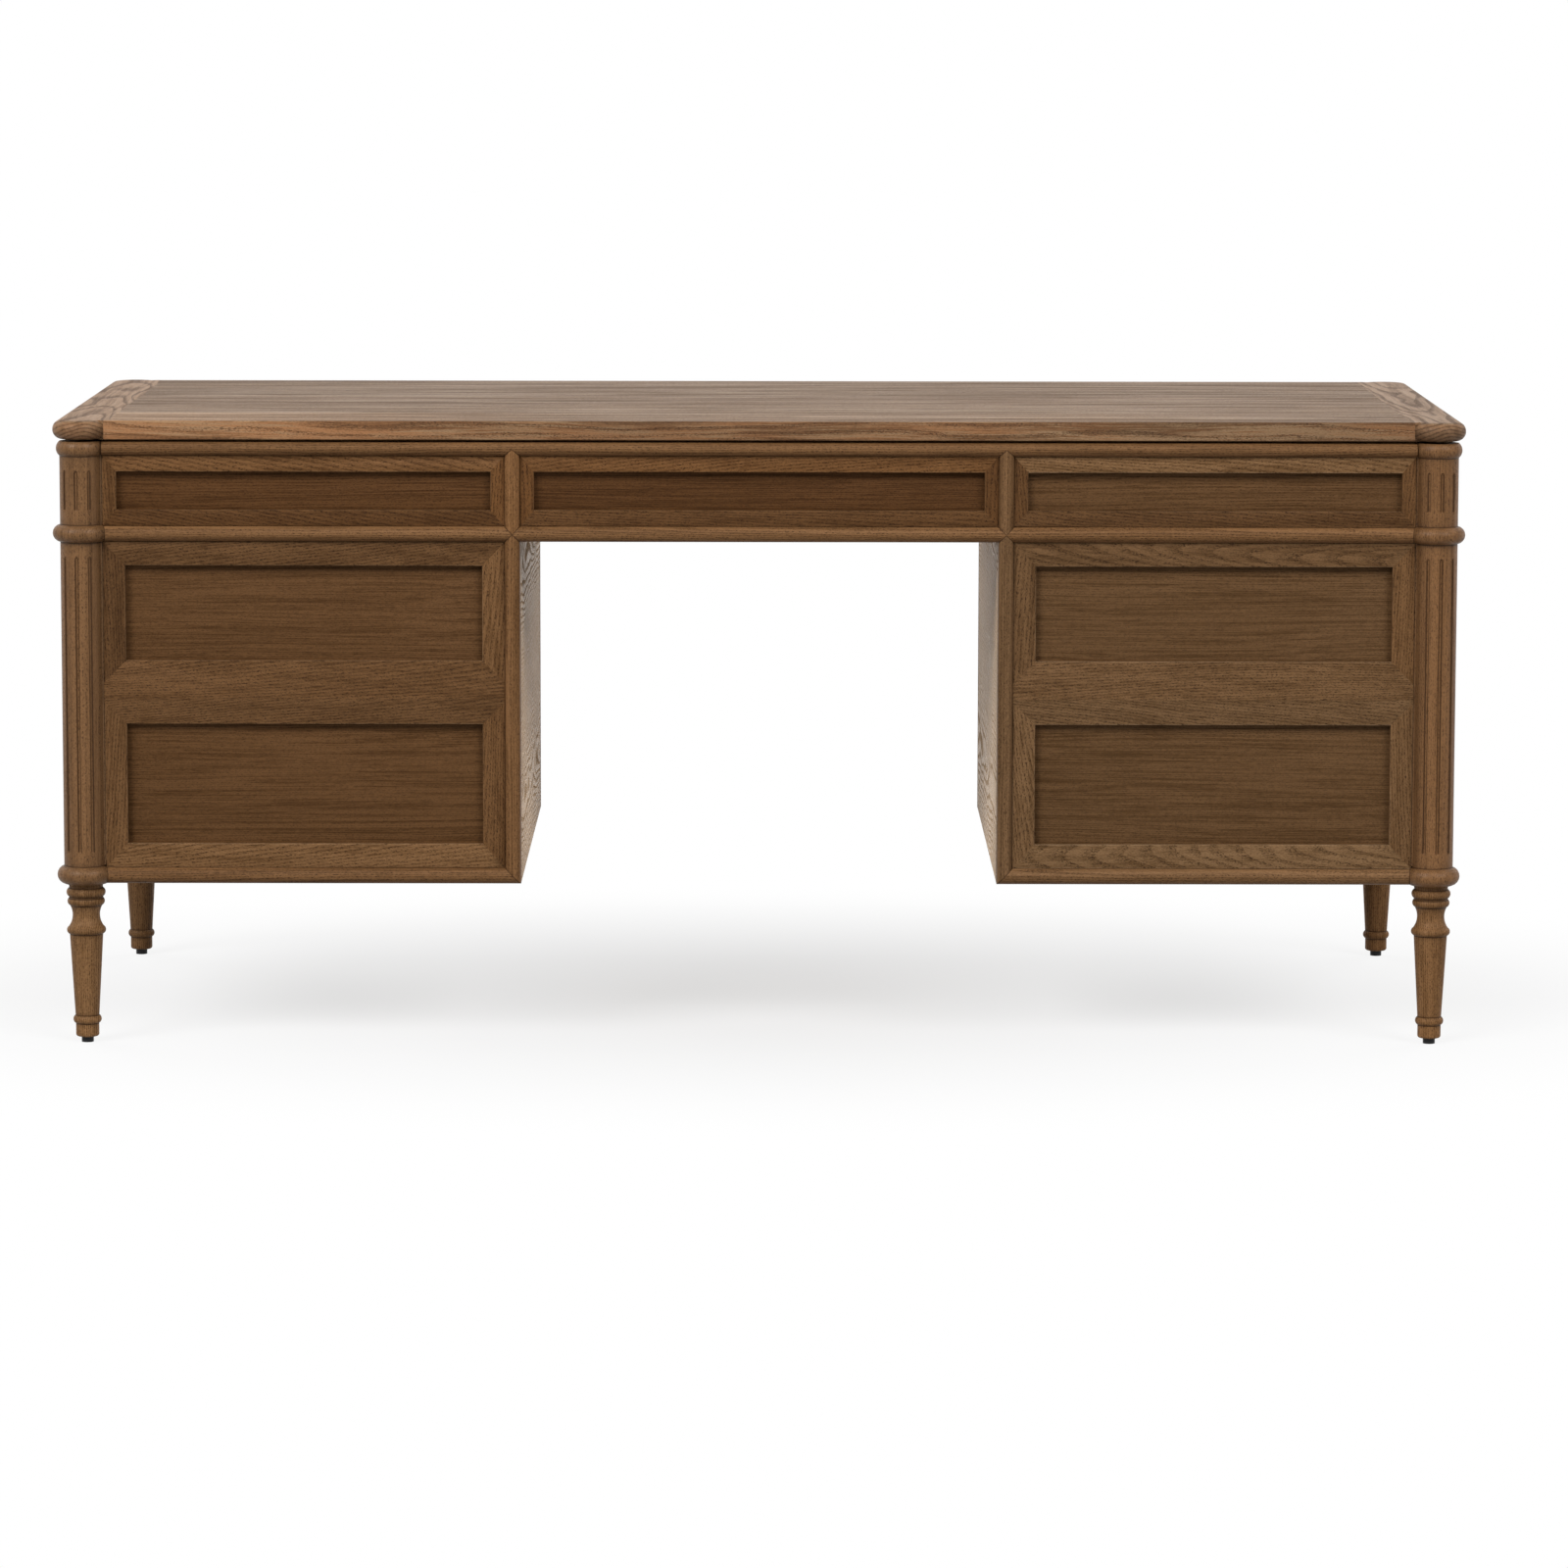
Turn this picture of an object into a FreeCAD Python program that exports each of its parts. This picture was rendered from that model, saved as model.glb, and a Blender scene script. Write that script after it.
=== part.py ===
import FreeCAD, Part
import math
import os

import Sketcher

# Pedestal desk with fluted corner columns, turned legs and seven drawers.
# Frame: millimetres, +Z up, origin on the floor under the middle of the desk, +X along its width.
# The panelled visitor's side faces -Y, and the drawers open towards +Y, the sitter's side.

SIZES = {
    # Whole desk
    "desk_height": 762.0,
    "column_x": 821.0,
    "column_y": 347.0,
    "overrun": 2.0,
    # Top
    "top_thick": 23.0,
    "shadow_gap": 2.6,
    "lobe_r": 34.0,
    "top_edge_out": 17.5,
    "top_ease": 1.6,
    "bullnose_flat": 0.6,
    "spacer_width": 12.0,
    # Corner columns
    "column_r": 26.0,
    "post_in": 26.0,
    "post_out": 10.5,
    "ring_low_r": 34.4,
    "ring_low_half": 11.1,
    "ring_mid_r": 35.0,
    "ring_mid_half": 10.6,
    "ring_up_r": 30.1,
    "ring_up_half": 8.9,
    "flute_half": 1.9,
    "flute_end_r": 2.1,
    "flute_depth": 1.6,
    "flute_margin": 19.5,
    # Turned legs and glides, the upper turnings measured down from the leg's top
    "leg_h": 196.1,
    "tenon_r": 10.0,
    "tenon_long": 24.0,
    "socket_gap": 0.2,
    "cap_r": 24.7,
    "cap_cove": 1.2,
    "bead_one_drop": 10.9,
    "bead_one_h": 10.6,
    "bead_one_rise": 2.9,
    "bead_two_drop": 22.5,
    "bead_two_h": 9.2,
    "bead_two_rise": 2.4,
    "waist_r": 20.9,
    "cove_top_r": 19.6,
    "cove_low_r": 21.2,
    "cove_rise": 3.8,
    "collar_drop": 57.7,
    "collar_h": 9.4,
    "collar_rise": 3.0,
    "shank_top_r": 20.3,
    "shank_low_r": 14.5,
    "ankle_z": 28.2,
    "ankle_h": 10.2,
    "ankle_rise": 2.9,
    "foot_r": 14.2,
    "toe_r": 11.6,
    "toe_h": 2.6,
    "toe_round": 3.2,
    "glide_h": 7.0,
    "glide_r": 7.4,
    "stem_r": 4.0,
    "stem_long": 14.0,
    # Faces, measured outwards from the plane of the column axes
    "bead_out": 19.5,
    "frame_out": 12.0,
    "frame_thick": 9.0,
    "panel_thick": 12.0,
    "panel_inset": 4.0,
    "bead_up_h": 16.6,
    "apron_h": 85.7,
    "bead_mid_h": 18.7,
    "bead_low_h": 19.6,
    "stile_up": 17.2,
    "rail_up": 19.7,
    "stile_low": 27.4,
    "rail_low": 29.4,
    "mid_rail_h": 77.6,
    "mid_rail_rise": 15.6,
    "tip_flat": 0.6,
    "scribe_gap": 0.2,
    # Kneehole
    "knee_half": 289.75,
    "divider_thick": 18.5,
    "floor_thick": 12.0,
    # Drawers
    "drawer_gap": 2.0,
    "box_behind": 76.0,
    "box_side": 12.0,
    "box_back": 12.0,
    "box_bottom": 6.0,
    "box_lift": 8.0,
    "box_below": 8.0,
    "box_above": 18.0,
    # Drawer slides
    "slide_space": 12.7,
    "slide_setback": 14.0,
    "slide_tail": 26.0,
    "slide_lift": 22.0,
    "web_thick": 1.5,
    "flange_long": 8.0,
    "flange_thick": 1.5,
    "bar_h": 12.0,
    "bar_wide": 9.6,
    "run_gap": 0.4,
    "packer_margin": 8.0,
    # Knobs
    "knob_long": 29.0,
    "knob_head_r": 13.5,
    "knob_head_h": 17.0,
    "knob_round": 14.5,
    "knob_neck_r": 6.0,
    "knob_base_r": 9.5,
    "knob_base_h": 3.0,
    "knob_face_r": 5.0,
}

HALF_TURN = 180
QUARTER_TURN = 90
EIGHTH_TURN = 45
WHOLE_TURN = 360
THIRD_TURN = WHOLE_TURN / 3
FLUTE_COUNT = 5
FLUTE_STEP = 36
DIAGONAL_SHARE = math.sqrt(0.5)
KNOB_PLACE_SHARE = 0.25

X_AXIS = FreeCAD.Vector(1, 0, 0)
Y_AXIS = FreeCAD.Vector(0, 1, 0)
Z_AXIS = FreeCAD.Vector(0, 0, 1)
CYCLE_AXIS = FreeCAD.Vector(1, 1, 1)

doc = FreeCAD.newDocument("PedestalDesk")
sheet = doc.addObject("Spreadsheet::Sheet", "Sizes")
nodes = []


class Size:
    """A length that knows its number and the expression that ties it to the sheet."""

    def __init__(self, number, text):
        self.number = number
        self.text = text

    def __add__(self, other):
        other = as_size(other)
        return Size(self.number + other.number, f"({self.text} + {other.text})")

    def __sub__(self, other):
        other = as_size(other)
        return Size(self.number - other.number, f"({self.text} - {other.text})")

    def __mul__(self, other):
        other = as_size(other)
        return Size(self.number * other.number, f"({self.text} * {other.text})")

    def __truediv__(self, other):
        other = as_size(other)
        return Size(self.number / other.number, f"({self.text} / {other.text})")

    def __neg__(self):
        return Size(-self.number, f"(0 - {self.text})")

    def __rmul__(self, other):
        return as_size(other) * self

    def root(self):
        return Size(self.number ** 0.5, f"sqrt({self.text})")


def as_size(value):
    """Take a Size as it is, and wrap a plain number."""
    if isinstance(value, Size):
        return value
    return Size(float(value), repr(float(value)))


class Sheet:
    """The spreadsheet's sizes as attributes."""

    def __init__(self, sizes):
        for row, (alias, number) in enumerate(sizes.items(), start=1):
            sheet.set(f"A{row}", alias)
            sheet.set(f"B{row}", str(number))
            sheet.setAlias(f"B{row}", alias)
            setattr(self, alias, Size(number, f"Sizes.{alias}"))


def bind(thing, **sizes):
    """Tie properties of a document object to the sheet."""
    for name, length in sizes.items():
        thing.setExpression(name, as_size(length).text)
    return thing


def place(thing, x=0, y=0, z=0, axis=Z_AXIS, turn=0):
    """Set an object's turn, and tie its position to the sheet."""
    thing.Placement = FreeCAD.Placement(FreeCAD.Vector(), FreeCAD.Rotation(axis, turn))
    for name, length in zip("xyz", (x, y, z)):
        thing.setExpression(f"Placement.Base.{name}", as_size(length).text)
    return thing


def named(thing, label):
    """Make an object a sub-part of the desk under its own name."""
    thing.Label = label
    nodes.append(thing)
    return thing


def group(label, members, **where):
    """Gather separate solids into one sub-part."""
    joined = doc.addObject("Part::Compound", "Group")
    joined.Links = members
    return named(place(joined, **where), label)


def fuse(members):
    """Join solids that are one piece of wood."""
    joined = doc.addObject("Part::MultiFuse", "Joined")
    joined.Shapes = members
    joined.Refine = True
    return joined


def cut(base, tools):
    """Take the tools away from a solid, one after the other."""
    for tool in tools:
        less = doc.addObject("Part::Cut", "Less")
        less.Base = base
        less.Tool = tool
        base = less
    return base


def common(base, tool):
    """Keep what lies in both solids."""
    kept = doc.addObject("Part::Common", "Kept")
    kept.Base = base
    kept.Tool = tool
    return kept


def board(x, y, z):
    """A plain board between two ends on each axis."""
    box = doc.addObject("Part::Box", "Board")
    bind(box, Length=x[1] - x[0], Width=y[1] - y[0], Height=z[1] - z[0])
    return place(box, x[0], y[0], z[0])


# On a face, u runs along it, z runs up and d runs outwards from the plane of the column axes.


def face_board(u, d, z):
    """A plain board on a face."""
    return board(u, (-d[1], -d[0]), z)


def rail_member(z, low_edge, high_edge, d):
    """A level board on a face whose lower and upper edges may differ in length."""
    wedge = doc.addObject("Part::Wedge", "Rail")
    bind(wedge, Ymin=z[0], Ymax=z[1], Xmin=low_edge[0], Xmax=low_edge[1])
    bind(wedge, X2min=high_edge[0], X2max=high_edge[1])
    bind(wedge, Zmin=d[0], Zmax=d[1], Z2min=d[0], Z2max=d[1])
    return place(wedge, axis=X_AXIS, turn=QUARTER_TURN)


def stile_member(u, near_edge, far_edge, d):
    """An upright board on a face whose two edges may differ in length."""
    wedge = doc.addObject("Part::Wedge", "Stile")
    bind(wedge, Ymin=u[0], Ymax=u[1], Xmin=near_edge[0], Xmax=near_edge[1])
    bind(wedge, X2min=far_edge[0], X2max=far_edge[1])
    bind(wedge, Zmin=-d[1], Zmax=-d[0], Z2min=-d[1], Z2max=-d[0])
    return place(wedge, axis=CYCLE_AXIS, turn=-THIRD_TURN)


def level_bead(u, z):
    """A rail with a half-round nose along a face."""
    nose_r = (z[1] - z[0]) / 2
    seat = size.bead_out - nose_r
    nose = doc.addObject("Part::Cylinder", "Nose")
    bind(nose, Radius=nose_r, Height=u[1] - u[0])
    place(nose, u[0], -seat, z[0] + nose_r, Y_AXIS, QUARTER_TURN)
    return fuse([face_board(u, (face_back, seat), z), nose])


def upright_bead(u, z):
    """A post with a half-round nose on a face."""
    nose_r = (u[1] - u[0]) / 2
    seat = size.bead_out - nose_r
    nose = doc.addObject("Part::Cylinder", "Nose")
    bind(nose, Radius=nose_r, Height=z[1] - z[0])
    place(nose, u[0] + nose_r, -seat, z[0])
    return fuse([face_board(u, (face_back, seat), z), nose])


def mitred_frame(u, z, d, stile, rail):
    """Four boards mitred round one field."""
    inner_u = (u[0] + stile, u[1] - stile)
    inner_z = (z[0] + rail, z[1] - rail)
    return [
        rail_member((z[0], inner_z[0]), u, inner_u, d),
        rail_member((inner_z[1], z[1]), inner_u, u, d),
        stile_member((u[0], inner_u[0]), z, inner_z, d),
        stile_member((inner_u[1], u[1]), inner_z, z, d),
    ]


def mid_rail_span(z):
    """Where the wide mid rail of a two-field frame lies, a little above the middle."""
    centre = (z[0] + z[1]) / 2 + size.mid_rail_rise
    return centre - size.mid_rail_h / 2, centre + size.mid_rail_h / 2


def two_field_frame(u, z, d):
    """A mitred frame whose wide mid rail has double-mitred ends, round two fields."""
    stile, rail = size.stile_low, size.rail_low
    inner_u = (u[0] + stile, u[1] - stile)
    middle = mid_rail_span(z)
    mitre = (middle[0] + stile, middle[1] - stile)
    low_inner, low_outer = (z[0] + rail, middle[0]), (z[0], mitre[0])
    high_inner, high_outer = (middle[1], z[1] - rail), (mitre[1], z[1])
    mid_rail = fuse([
        rail_member((middle[0], mitre[0]), inner_u, u, d),
        face_board(u, d, mitre),
        rail_member((mitre[1], middle[1]), u, inner_u, d),
    ])
    return [
        rail_member((z[0], low_inner[0]), u, inner_u, d),
        rail_member((high_inner[1], z[1]), inner_u, u, d),
        mid_rail,
        stile_member((u[0], inner_u[0]), low_outer, low_inner, d),
        stile_member((inner_u[1], u[1]), low_inner, low_outer, d),
        stile_member((u[0], inner_u[0]), high_outer, high_inner, d),
        stile_member((inner_u[1], u[1]), high_inner, high_outer, d),
    ]


def arc_radius(chord, rise):
    """Radius of an arc from its chord and how far it stands out."""
    return (chord * chord / 4 + rise * rise) / (2 * rise)


def arc_between(start, end, radius, turn):
    """The arc of less than half a circle from start to end; turn 1 runs anticlockwise."""
    chord = end - start
    left = FreeCAD.Vector(-chord.y, chord.x, 0).normalize()
    reach = max(radius * radius - chord.Length * chord.Length / 4, 0) ** 0.5
    centre = (start + end) * 0.5 + left * (reach * turn)
    circle = Part.Circle(centre, Z_AXIS, radius)
    first, last = (start, end) if turn > 0 else (end, start)
    return Part.ArcOfCircle(circle, circle.parameter(first), circle.parameter(last))


def draw(sketch, path):
    """Draw a closed outline in a sketch and tie all its points and arcs to the sheet.

    Each step of the path is (x, y) for a line to that point, or (x, y, radius, turn) for an arc.
    """
    corners = [FreeCAD.Vector(as_size(step[0]).number, as_size(step[1]).number, 0) for step in path]
    ends = []
    for index, step in enumerate(path):
        start, end = corners[index - 1], corners[index]
        if len(step) == 2:
            line = sketch.addGeometry(Part.LineSegment(start, end), False)
            ends.append((line, 1, 2))
            continue
        radius, turn = step[2], step[3]
        arc = sketch.addGeometry(arc_between(start, end, radius.number, turn), False)
        ends.append((arc, 1, 2) if turn > 0 else (arc, 2, 1))
        held = sketch.addConstraint(Sketcher.Constraint("Radius", arc, radius.number))
        sketch.setExpression(f"Constraints[{held}]", radius.text)
    for index, step in enumerate(path):
        curve, _, last = ends[index]
        following, first, _ = ends[(index + 1) % len(path)]
        sketch.addConstraint(Sketcher.Constraint("Coincident", curve, last, following, first))
        for kind, axis, coordinate in (("DistanceX", -2, step[0]), ("DistanceY", -1, step[1])):
            coordinate = as_size(coordinate)
            if coordinate.number == 0:
                sketch.addConstraint(Sketcher.Constraint("PointOnObject", curve, last, axis))
                continue
            held = Sketcher.Constraint(kind, -1, 1, curve, last, coordinate.number)
            held = sketch.addConstraint(held)
            sketch.setExpression(f"Constraints[{held}]", coordinate.text)


def origin_feature(body, role):
    """One of a body's own planes or axes."""
    return next(feature for feature in body.Origin.OriginFeatures if feature.Role == role)


def sketch_on(body, role, *paths):
    """A sketch of closed outlines on one of a body's own planes."""
    sketch = body.newObject("Sketcher::SketchObject", "Outline")
    sketch.AttachmentSupport = [(origin_feature(body, role), "")]
    sketch.MapMode = "FlatFace"
    for path in paths:
        draw(sketch, path)
    return sketch


def pad(body, path, length):
    """Raise an outline on the body's ground plane."""
    raised = body.newObject("PartDesign::Pad", "Raised")
    raised.Profile = sketch_on(body, "XY_Plane", path)
    return bind(raised, Length=length)


def turned(path):
    """A body turned about the Z axis from half of its section."""
    body = doc.addObject("PartDesign::Body", "Turned")
    sketch = sketch_on(body, "XZ_Plane", path)
    lathe = body.newObject("PartDesign::Revolution", "Lathe")
    lathe.Profile = sketch
    lathe.ReferenceAxis = (sketch, ["V_Axis"])
    lathe.Angle = WHOLE_TURN
    return body


def is_level(edge):
    """Tell whether an edge runs level."""
    return abs(edge.Vertexes[0].Z - edge.Vertexes[-1].Z) < edge.Length / 2


def runs_along_width(edge):
    """Tell whether an edge runs mostly along X."""
    return abs(edge.Vertexes[0].X - edge.Vertexes[-1].X) > edge.Length / 2


def rounded(body, base, wanted, radius):
    """Round the edges of a body that the test picks."""
    doc.recompute()
    edges = [f"Edge{n}" for n, edge in enumerate(base.Shape.Edges, start=1) if wanted(edge)]
    fillet = body.newObject("PartDesign::Fillet", "Rounding")
    fillet.Base = (base, edges)
    return bind(fillet, Radius=radius)


size = Sheet(SIZES)
doc.recompute()

# Levels, from the floor up to the low bead and from the top down to the bay
leg_top = size.leg_h
ring_low_z = leg_top + size.ring_low_half
case_low = ring_low_z - size.bead_low_h / 2
bead_low = (case_low, case_low + size.bead_low_h)
top_low = size.desk_height - size.top_thick
case_top = top_low - size.shadow_gap
ring_up_z = case_top - size.ring_up_half
bead_up = (case_top - size.bead_up_h, case_top)
apron = (bead_up[0] - size.apron_h, bead_up[0])
bead_mid = (apron[0] - size.bead_mid_h, apron[0])
ring_mid_z = bead_mid[0] + size.bead_mid_h / 2
bay = (bead_low[1], bead_mid[0])
mid_rail = mid_rail_span(bay)
split_low = mid_rail[0] + (size.mid_rail_h - size.bead_mid_h) / 2
drawer_split = (split_low, split_low + size.bead_mid_h)

# Depths outwards from the plane of the column axes
panel_out = size.frame_out - size.frame_thick
face_back = panel_out - size.panel_thick
frame_depth = (panel_out, size.frame_out)
panel_depth = (face_back, panel_out)
through = (face_back - size.overrun, size.bead_out + size.overrun)
box_depth = (size.box_behind - face_back - 2 * size.column_y, face_back)
slide_depth = (box_depth[0] + size.slide_tail, box_depth[1] - size.slide_setback)

# Places along the faces
bay_start = size.knee_half + size.divider_thick
bay_end = size.column_x - size.post_in
side_bay = (bay_start, bay_end)
knee_bay = (-size.knee_half, size.knee_half)
end_half = size.column_y - size.post_in
end_bay = (-end_half, end_half)
inner_y = size.column_y + face_back
inner_x = size.column_x + face_back
lobe_chord = (size.lobe_r * size.lobe_r - size.top_edge_out * size.top_edge_out).root()
top_edge_y = size.column_y + size.top_edge_out

# Rings of the corner columns: level, radius and half height
RINGS = (
    (ring_low_z, size.ring_low_r, size.ring_low_half),
    (ring_mid_z, size.ring_mid_r, size.ring_mid_half),
    (ring_up_z, size.ring_up_r, size.ring_up_half),
)

VISITOR = {"y": -size.column_y, "turn": 0}
SITTER = {"y": size.column_y, "turn": HALF_TURN}
LEFT_END = {"x": -size.column_x, "turn": -QUARTER_TURN}
RIGHT_END = {"x": size.column_x, "turn": QUARTER_TURN}
CORNERS = {
    "visitor_left": (-1, -1, -EIGHTH_TURN),
    "visitor_right": (1, -1, EIGHTH_TURN),
    "sitter_right": (1, 1, EIGHTH_TURN + QUARTER_TURN),
    "sitter_left": (-1, 1, -EIGHTH_TURN - QUARTER_TURN),
}


def mirrored(span, side):
    """The same stretch on the right (1) or on the left (-1) of the middle."""
    return span if side > 0 else (-span[1], -span[0])


def top_field():
    """The field of the top, its ends hollowed to meet the round end boards."""
    corner_x, corner_y = size.column_x - lobe_chord, top_edge_y
    inner = size.column_x - size.lobe_r
    body = doc.addObject("PartDesign::Body", "Field")
    slab = pad(body, [
        (corner_x, -corner_y),
        (inner, -size.column_y, size.lobe_r, -1),
        (inner, size.column_y),
        (corner_x, corner_y, size.lobe_r, -1),
        (-corner_x, corner_y),
        (-inner, size.column_y, size.lobe_r, -1),
        (-inner, -size.column_y),
        (-corner_x, -corner_y, size.lobe_r, -1),
    ], size.top_thick)
    rounded(body, slab, runs_along_width, size.top_ease)
    named(place(body, z=top_low), "top_field")


def top_end(label, side):
    """An end board of the top with round ends and a bullnose edge."""
    body = doc.addObject("PartDesign::Body", "End")
    slab = pad(body, [
        (size.lobe_r, size.column_y),
        (0, size.column_y + size.lobe_r, size.lobe_r, 1),
        (-size.lobe_r, size.column_y, size.lobe_r, 1),
        (-size.lobe_r, -size.column_y),
        (0, -size.column_y - size.lobe_r, size.lobe_r, 1),
        (size.lobe_r, -size.column_y, size.lobe_r, 1),
    ], size.top_thick)
    rounded(body, slab, is_level, (size.top_thick - size.bullnose_flat) / 2)
    pad(body, [
        (0, -top_edge_y),
        (0, top_edge_y),
        (-lobe_chord, top_edge_y),
        (-size.lobe_r, size.column_y, size.lobe_r, 1),
        (-size.lobe_r, -size.column_y),
        (-lobe_chord, -top_edge_y, size.lobe_r, 1),
    ], size.top_thick)
    turn = 0 if side > 0 else HALF_TURN
    named(place(body, x=side * size.column_x, z=top_low, turn=turn), label)


def top_spacers():
    """Strips on the case that carry the top and leave the shadow gap."""
    z = (case_top, top_low)
    long_y = (inner_y, inner_y + size.spacer_width)
    long_x = (inner_x, inner_x + size.spacer_width)
    strips = [board((-bay_end, bay_end), mirrored(long_y, side), z) for side in (-1, 1)]
    strips += [board(mirrored(long_x, side), end_bay, z) for side in (-1, 1)]
    group("top_spacers", strips)


def ring_arc(ring_r, half):
    """Radius of a column ring's rounded face."""
    return arc_radius(2 * half, ring_r - size.column_r)


def column(corner):
    """An engaged corner column: a turned and fluted shaft on a square post, with a tenon socket."""
    side_x, side_y, turn = CORNERS[corner]
    radius, socket_r = size.column_r, size.tenon_r + size.socket_gap
    socket_top = leg_top + size.tenon_long + size.socket_gap
    path = [(socket_r, leg_top)]
    for level, ring_r, half in RINGS:
        path += [(radius, level - half), (radius, level + half, ring_arc(ring_r, half), 1)]
    path += [(0, case_top), (0, socket_top), (socket_r, socket_top)]
    body = turned(path)
    wide = DIAGONAL_SHARE * (size.post_in + size.post_out)
    deep = DIAGONAL_SHARE * (size.post_in - size.post_out)
    post = pad(body, [
        (wide, deep),
        (0, 2 * DIAGONAL_SHARE * size.post_in),
        (-wide, deep),
        (0, -2 * DIAGONAL_SHARE * size.post_out),
    ], case_top - socket_top)
    post.Profile[0].setExpression("AttachmentOffset.Base.z", socket_top.text)
    flutes = sketch_on(body, "XZ_Plane", *[
        [
            (size.flute_half, high - size.flute_margin),
            (-size.flute_half, high - size.flute_margin, size.flute_end_r, 1),
            (-size.flute_half, low + size.flute_margin),
            (size.flute_half, low + size.flute_margin, size.flute_end_r, 1),
        ]
        for low, high in (bay, apron)
    ])
    swing = math.radians(FLUTE_STEP * (FLUTE_COUNT - 1) / 2)
    turn_back = FreeCAD.Rotation(Y_AXIS, -math.degrees(swing))
    flutes.AttachmentOffset = FreeCAD.Placement(FreeCAD.Vector(), turn_back)
    floor_r = radius - size.flute_depth
    flutes.setExpression("AttachmentOffset.Base.x", (-math.sin(swing) * floor_r).text)
    flutes.setExpression("AttachmentOffset.Base.z", (math.cos(swing) * floor_r).text)
    flute = body.newObject("PartDesign::Pocket", "Flute")
    flute.Profile = flutes
    flute.Reversed = True
    bind(flute, Length=size.flute_depth + size.overrun)
    fan = body.newObject("PartDesign::PolarPattern", "Flutes")
    fan.Originals = [flute]
    fan.Axis = (origin_feature(body, "Z_Axis"), [""])
    fan.Angle = (FLUTE_COUNT - 1) * FLUTE_STEP
    fan.Occurrences = FLUTE_COUNT
    body.Tip = fan
    named(place(body, side_x * size.column_x, side_y * size.column_y, turn=turn), f"column_{corner}")


def turning(drop, height):
    """The lower and upper level of a turning whose middle lies below the leg's top."""
    return leg_top - drop - height / 2, leg_top - drop + height / 2


def leg(corner):
    """A turned leg: foot, ankle bead, tapered shank, collar, cove, two beads and a tenon."""
    side_x, side_y, _ = CORNERS[corner]
    hole_r, hole_top = size.stem_r + size.socket_gap, size.glide_h + size.stem_long + size.socket_gap
    ankle = (size.ankle_z - size.ankle_h / 2, size.ankle_z + size.ankle_h / 2)
    collar = turning(size.collar_drop, size.collar_h)
    bead_two = turning(size.bead_two_drop, size.bead_two_h)
    bead_one = turning(size.bead_one_drop, size.bead_one_h)
    path = [
        (hole_r, size.glide_h),
        (size.toe_r, size.glide_h),
        (size.foot_r, size.glide_h + size.toe_h, size.toe_round, 1),
        (size.foot_r, ankle[0]),
        (size.shank_low_r, ankle[1], arc_radius(size.ankle_h, size.ankle_rise), 1),
        (size.shank_top_r, collar[0]),
        (size.cove_low_r, collar[1], arc_radius(size.collar_h, size.collar_rise), 1),
        (size.cove_top_r, bead_two[0], arc_radius(bead_two[0] - collar[1], size.cove_rise), -1),
        (size.waist_r, bead_two[1], arc_radius(size.bead_two_h, size.bead_two_rise), 1),
        (size.waist_r, bead_one[0]),
        (size.waist_r, bead_one[1], arc_radius(size.bead_one_h, size.bead_one_rise), 1),
        (size.cap_r, leg_top, arc_radius(leg_top - bead_one[1], size.cap_cove), -1),
        (size.tenon_r, leg_top),
        (size.tenon_r, leg_top + size.tenon_long),
        (0, leg_top + size.tenon_long),
        (0, hole_top),
        (hole_r, hole_top),
    ]
    named(place(turned(path), side_x * size.column_x, side_y * size.column_y), f"leg_{corner}")


def glides():
    """Black glides under the four feet, each with a stem."""
    path = [
        (size.glide_r, 0),
        (size.glide_r, size.glide_h),
        (size.stem_r, size.glide_h),
        (size.stem_r, size.glide_h + size.stem_long),
        (0, size.glide_h + size.stem_long),
        (0, 0),
    ]
    feet = [
        place(turned(path), side_x * size.column_x, side_y * size.column_y)
        for side_x, side_y, _ in CORNERS.values()
    ]
    group("glides", feet)


def scribe_tools(half_span):
    """Shapes of the two columns at the ends of a face, for scribing its rails to them."""
    tools = []
    for side in (-1, 1):
        for level, ring_r, half in RINGS:
            ring = doc.addObject("Part::Torus", "Ring")
            arc = ring_arc(ring_r, half)
            bind(ring, Radius1=ring_r - arc, Radius2=arc + size.scribe_gap)
            tools.append((side, level, place(ring, side * half_span, 0, level)))
    return tools


def scribed(rail, tools, level, sides=(-1, 1)):
    """Cut a rail's ends to the rings of the columns that it runs between."""
    near = [tool for side, at, tool in tools if at is level and side in sides]
    return cut(rail, near)


def junction(u, z, tip_z):
    """The wedge where an upright bead is scribed into a level one."""
    flat = ((u[0] + u[1] - size.tip_flat) / 2, (u[0] + u[1] + size.tip_flat) / 2)
    if tip_z.number > z.number:
        return rail_member((z, tip_z), u, flat, through)
    return rail_member((tip_z, z), flat, u, through)


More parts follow.
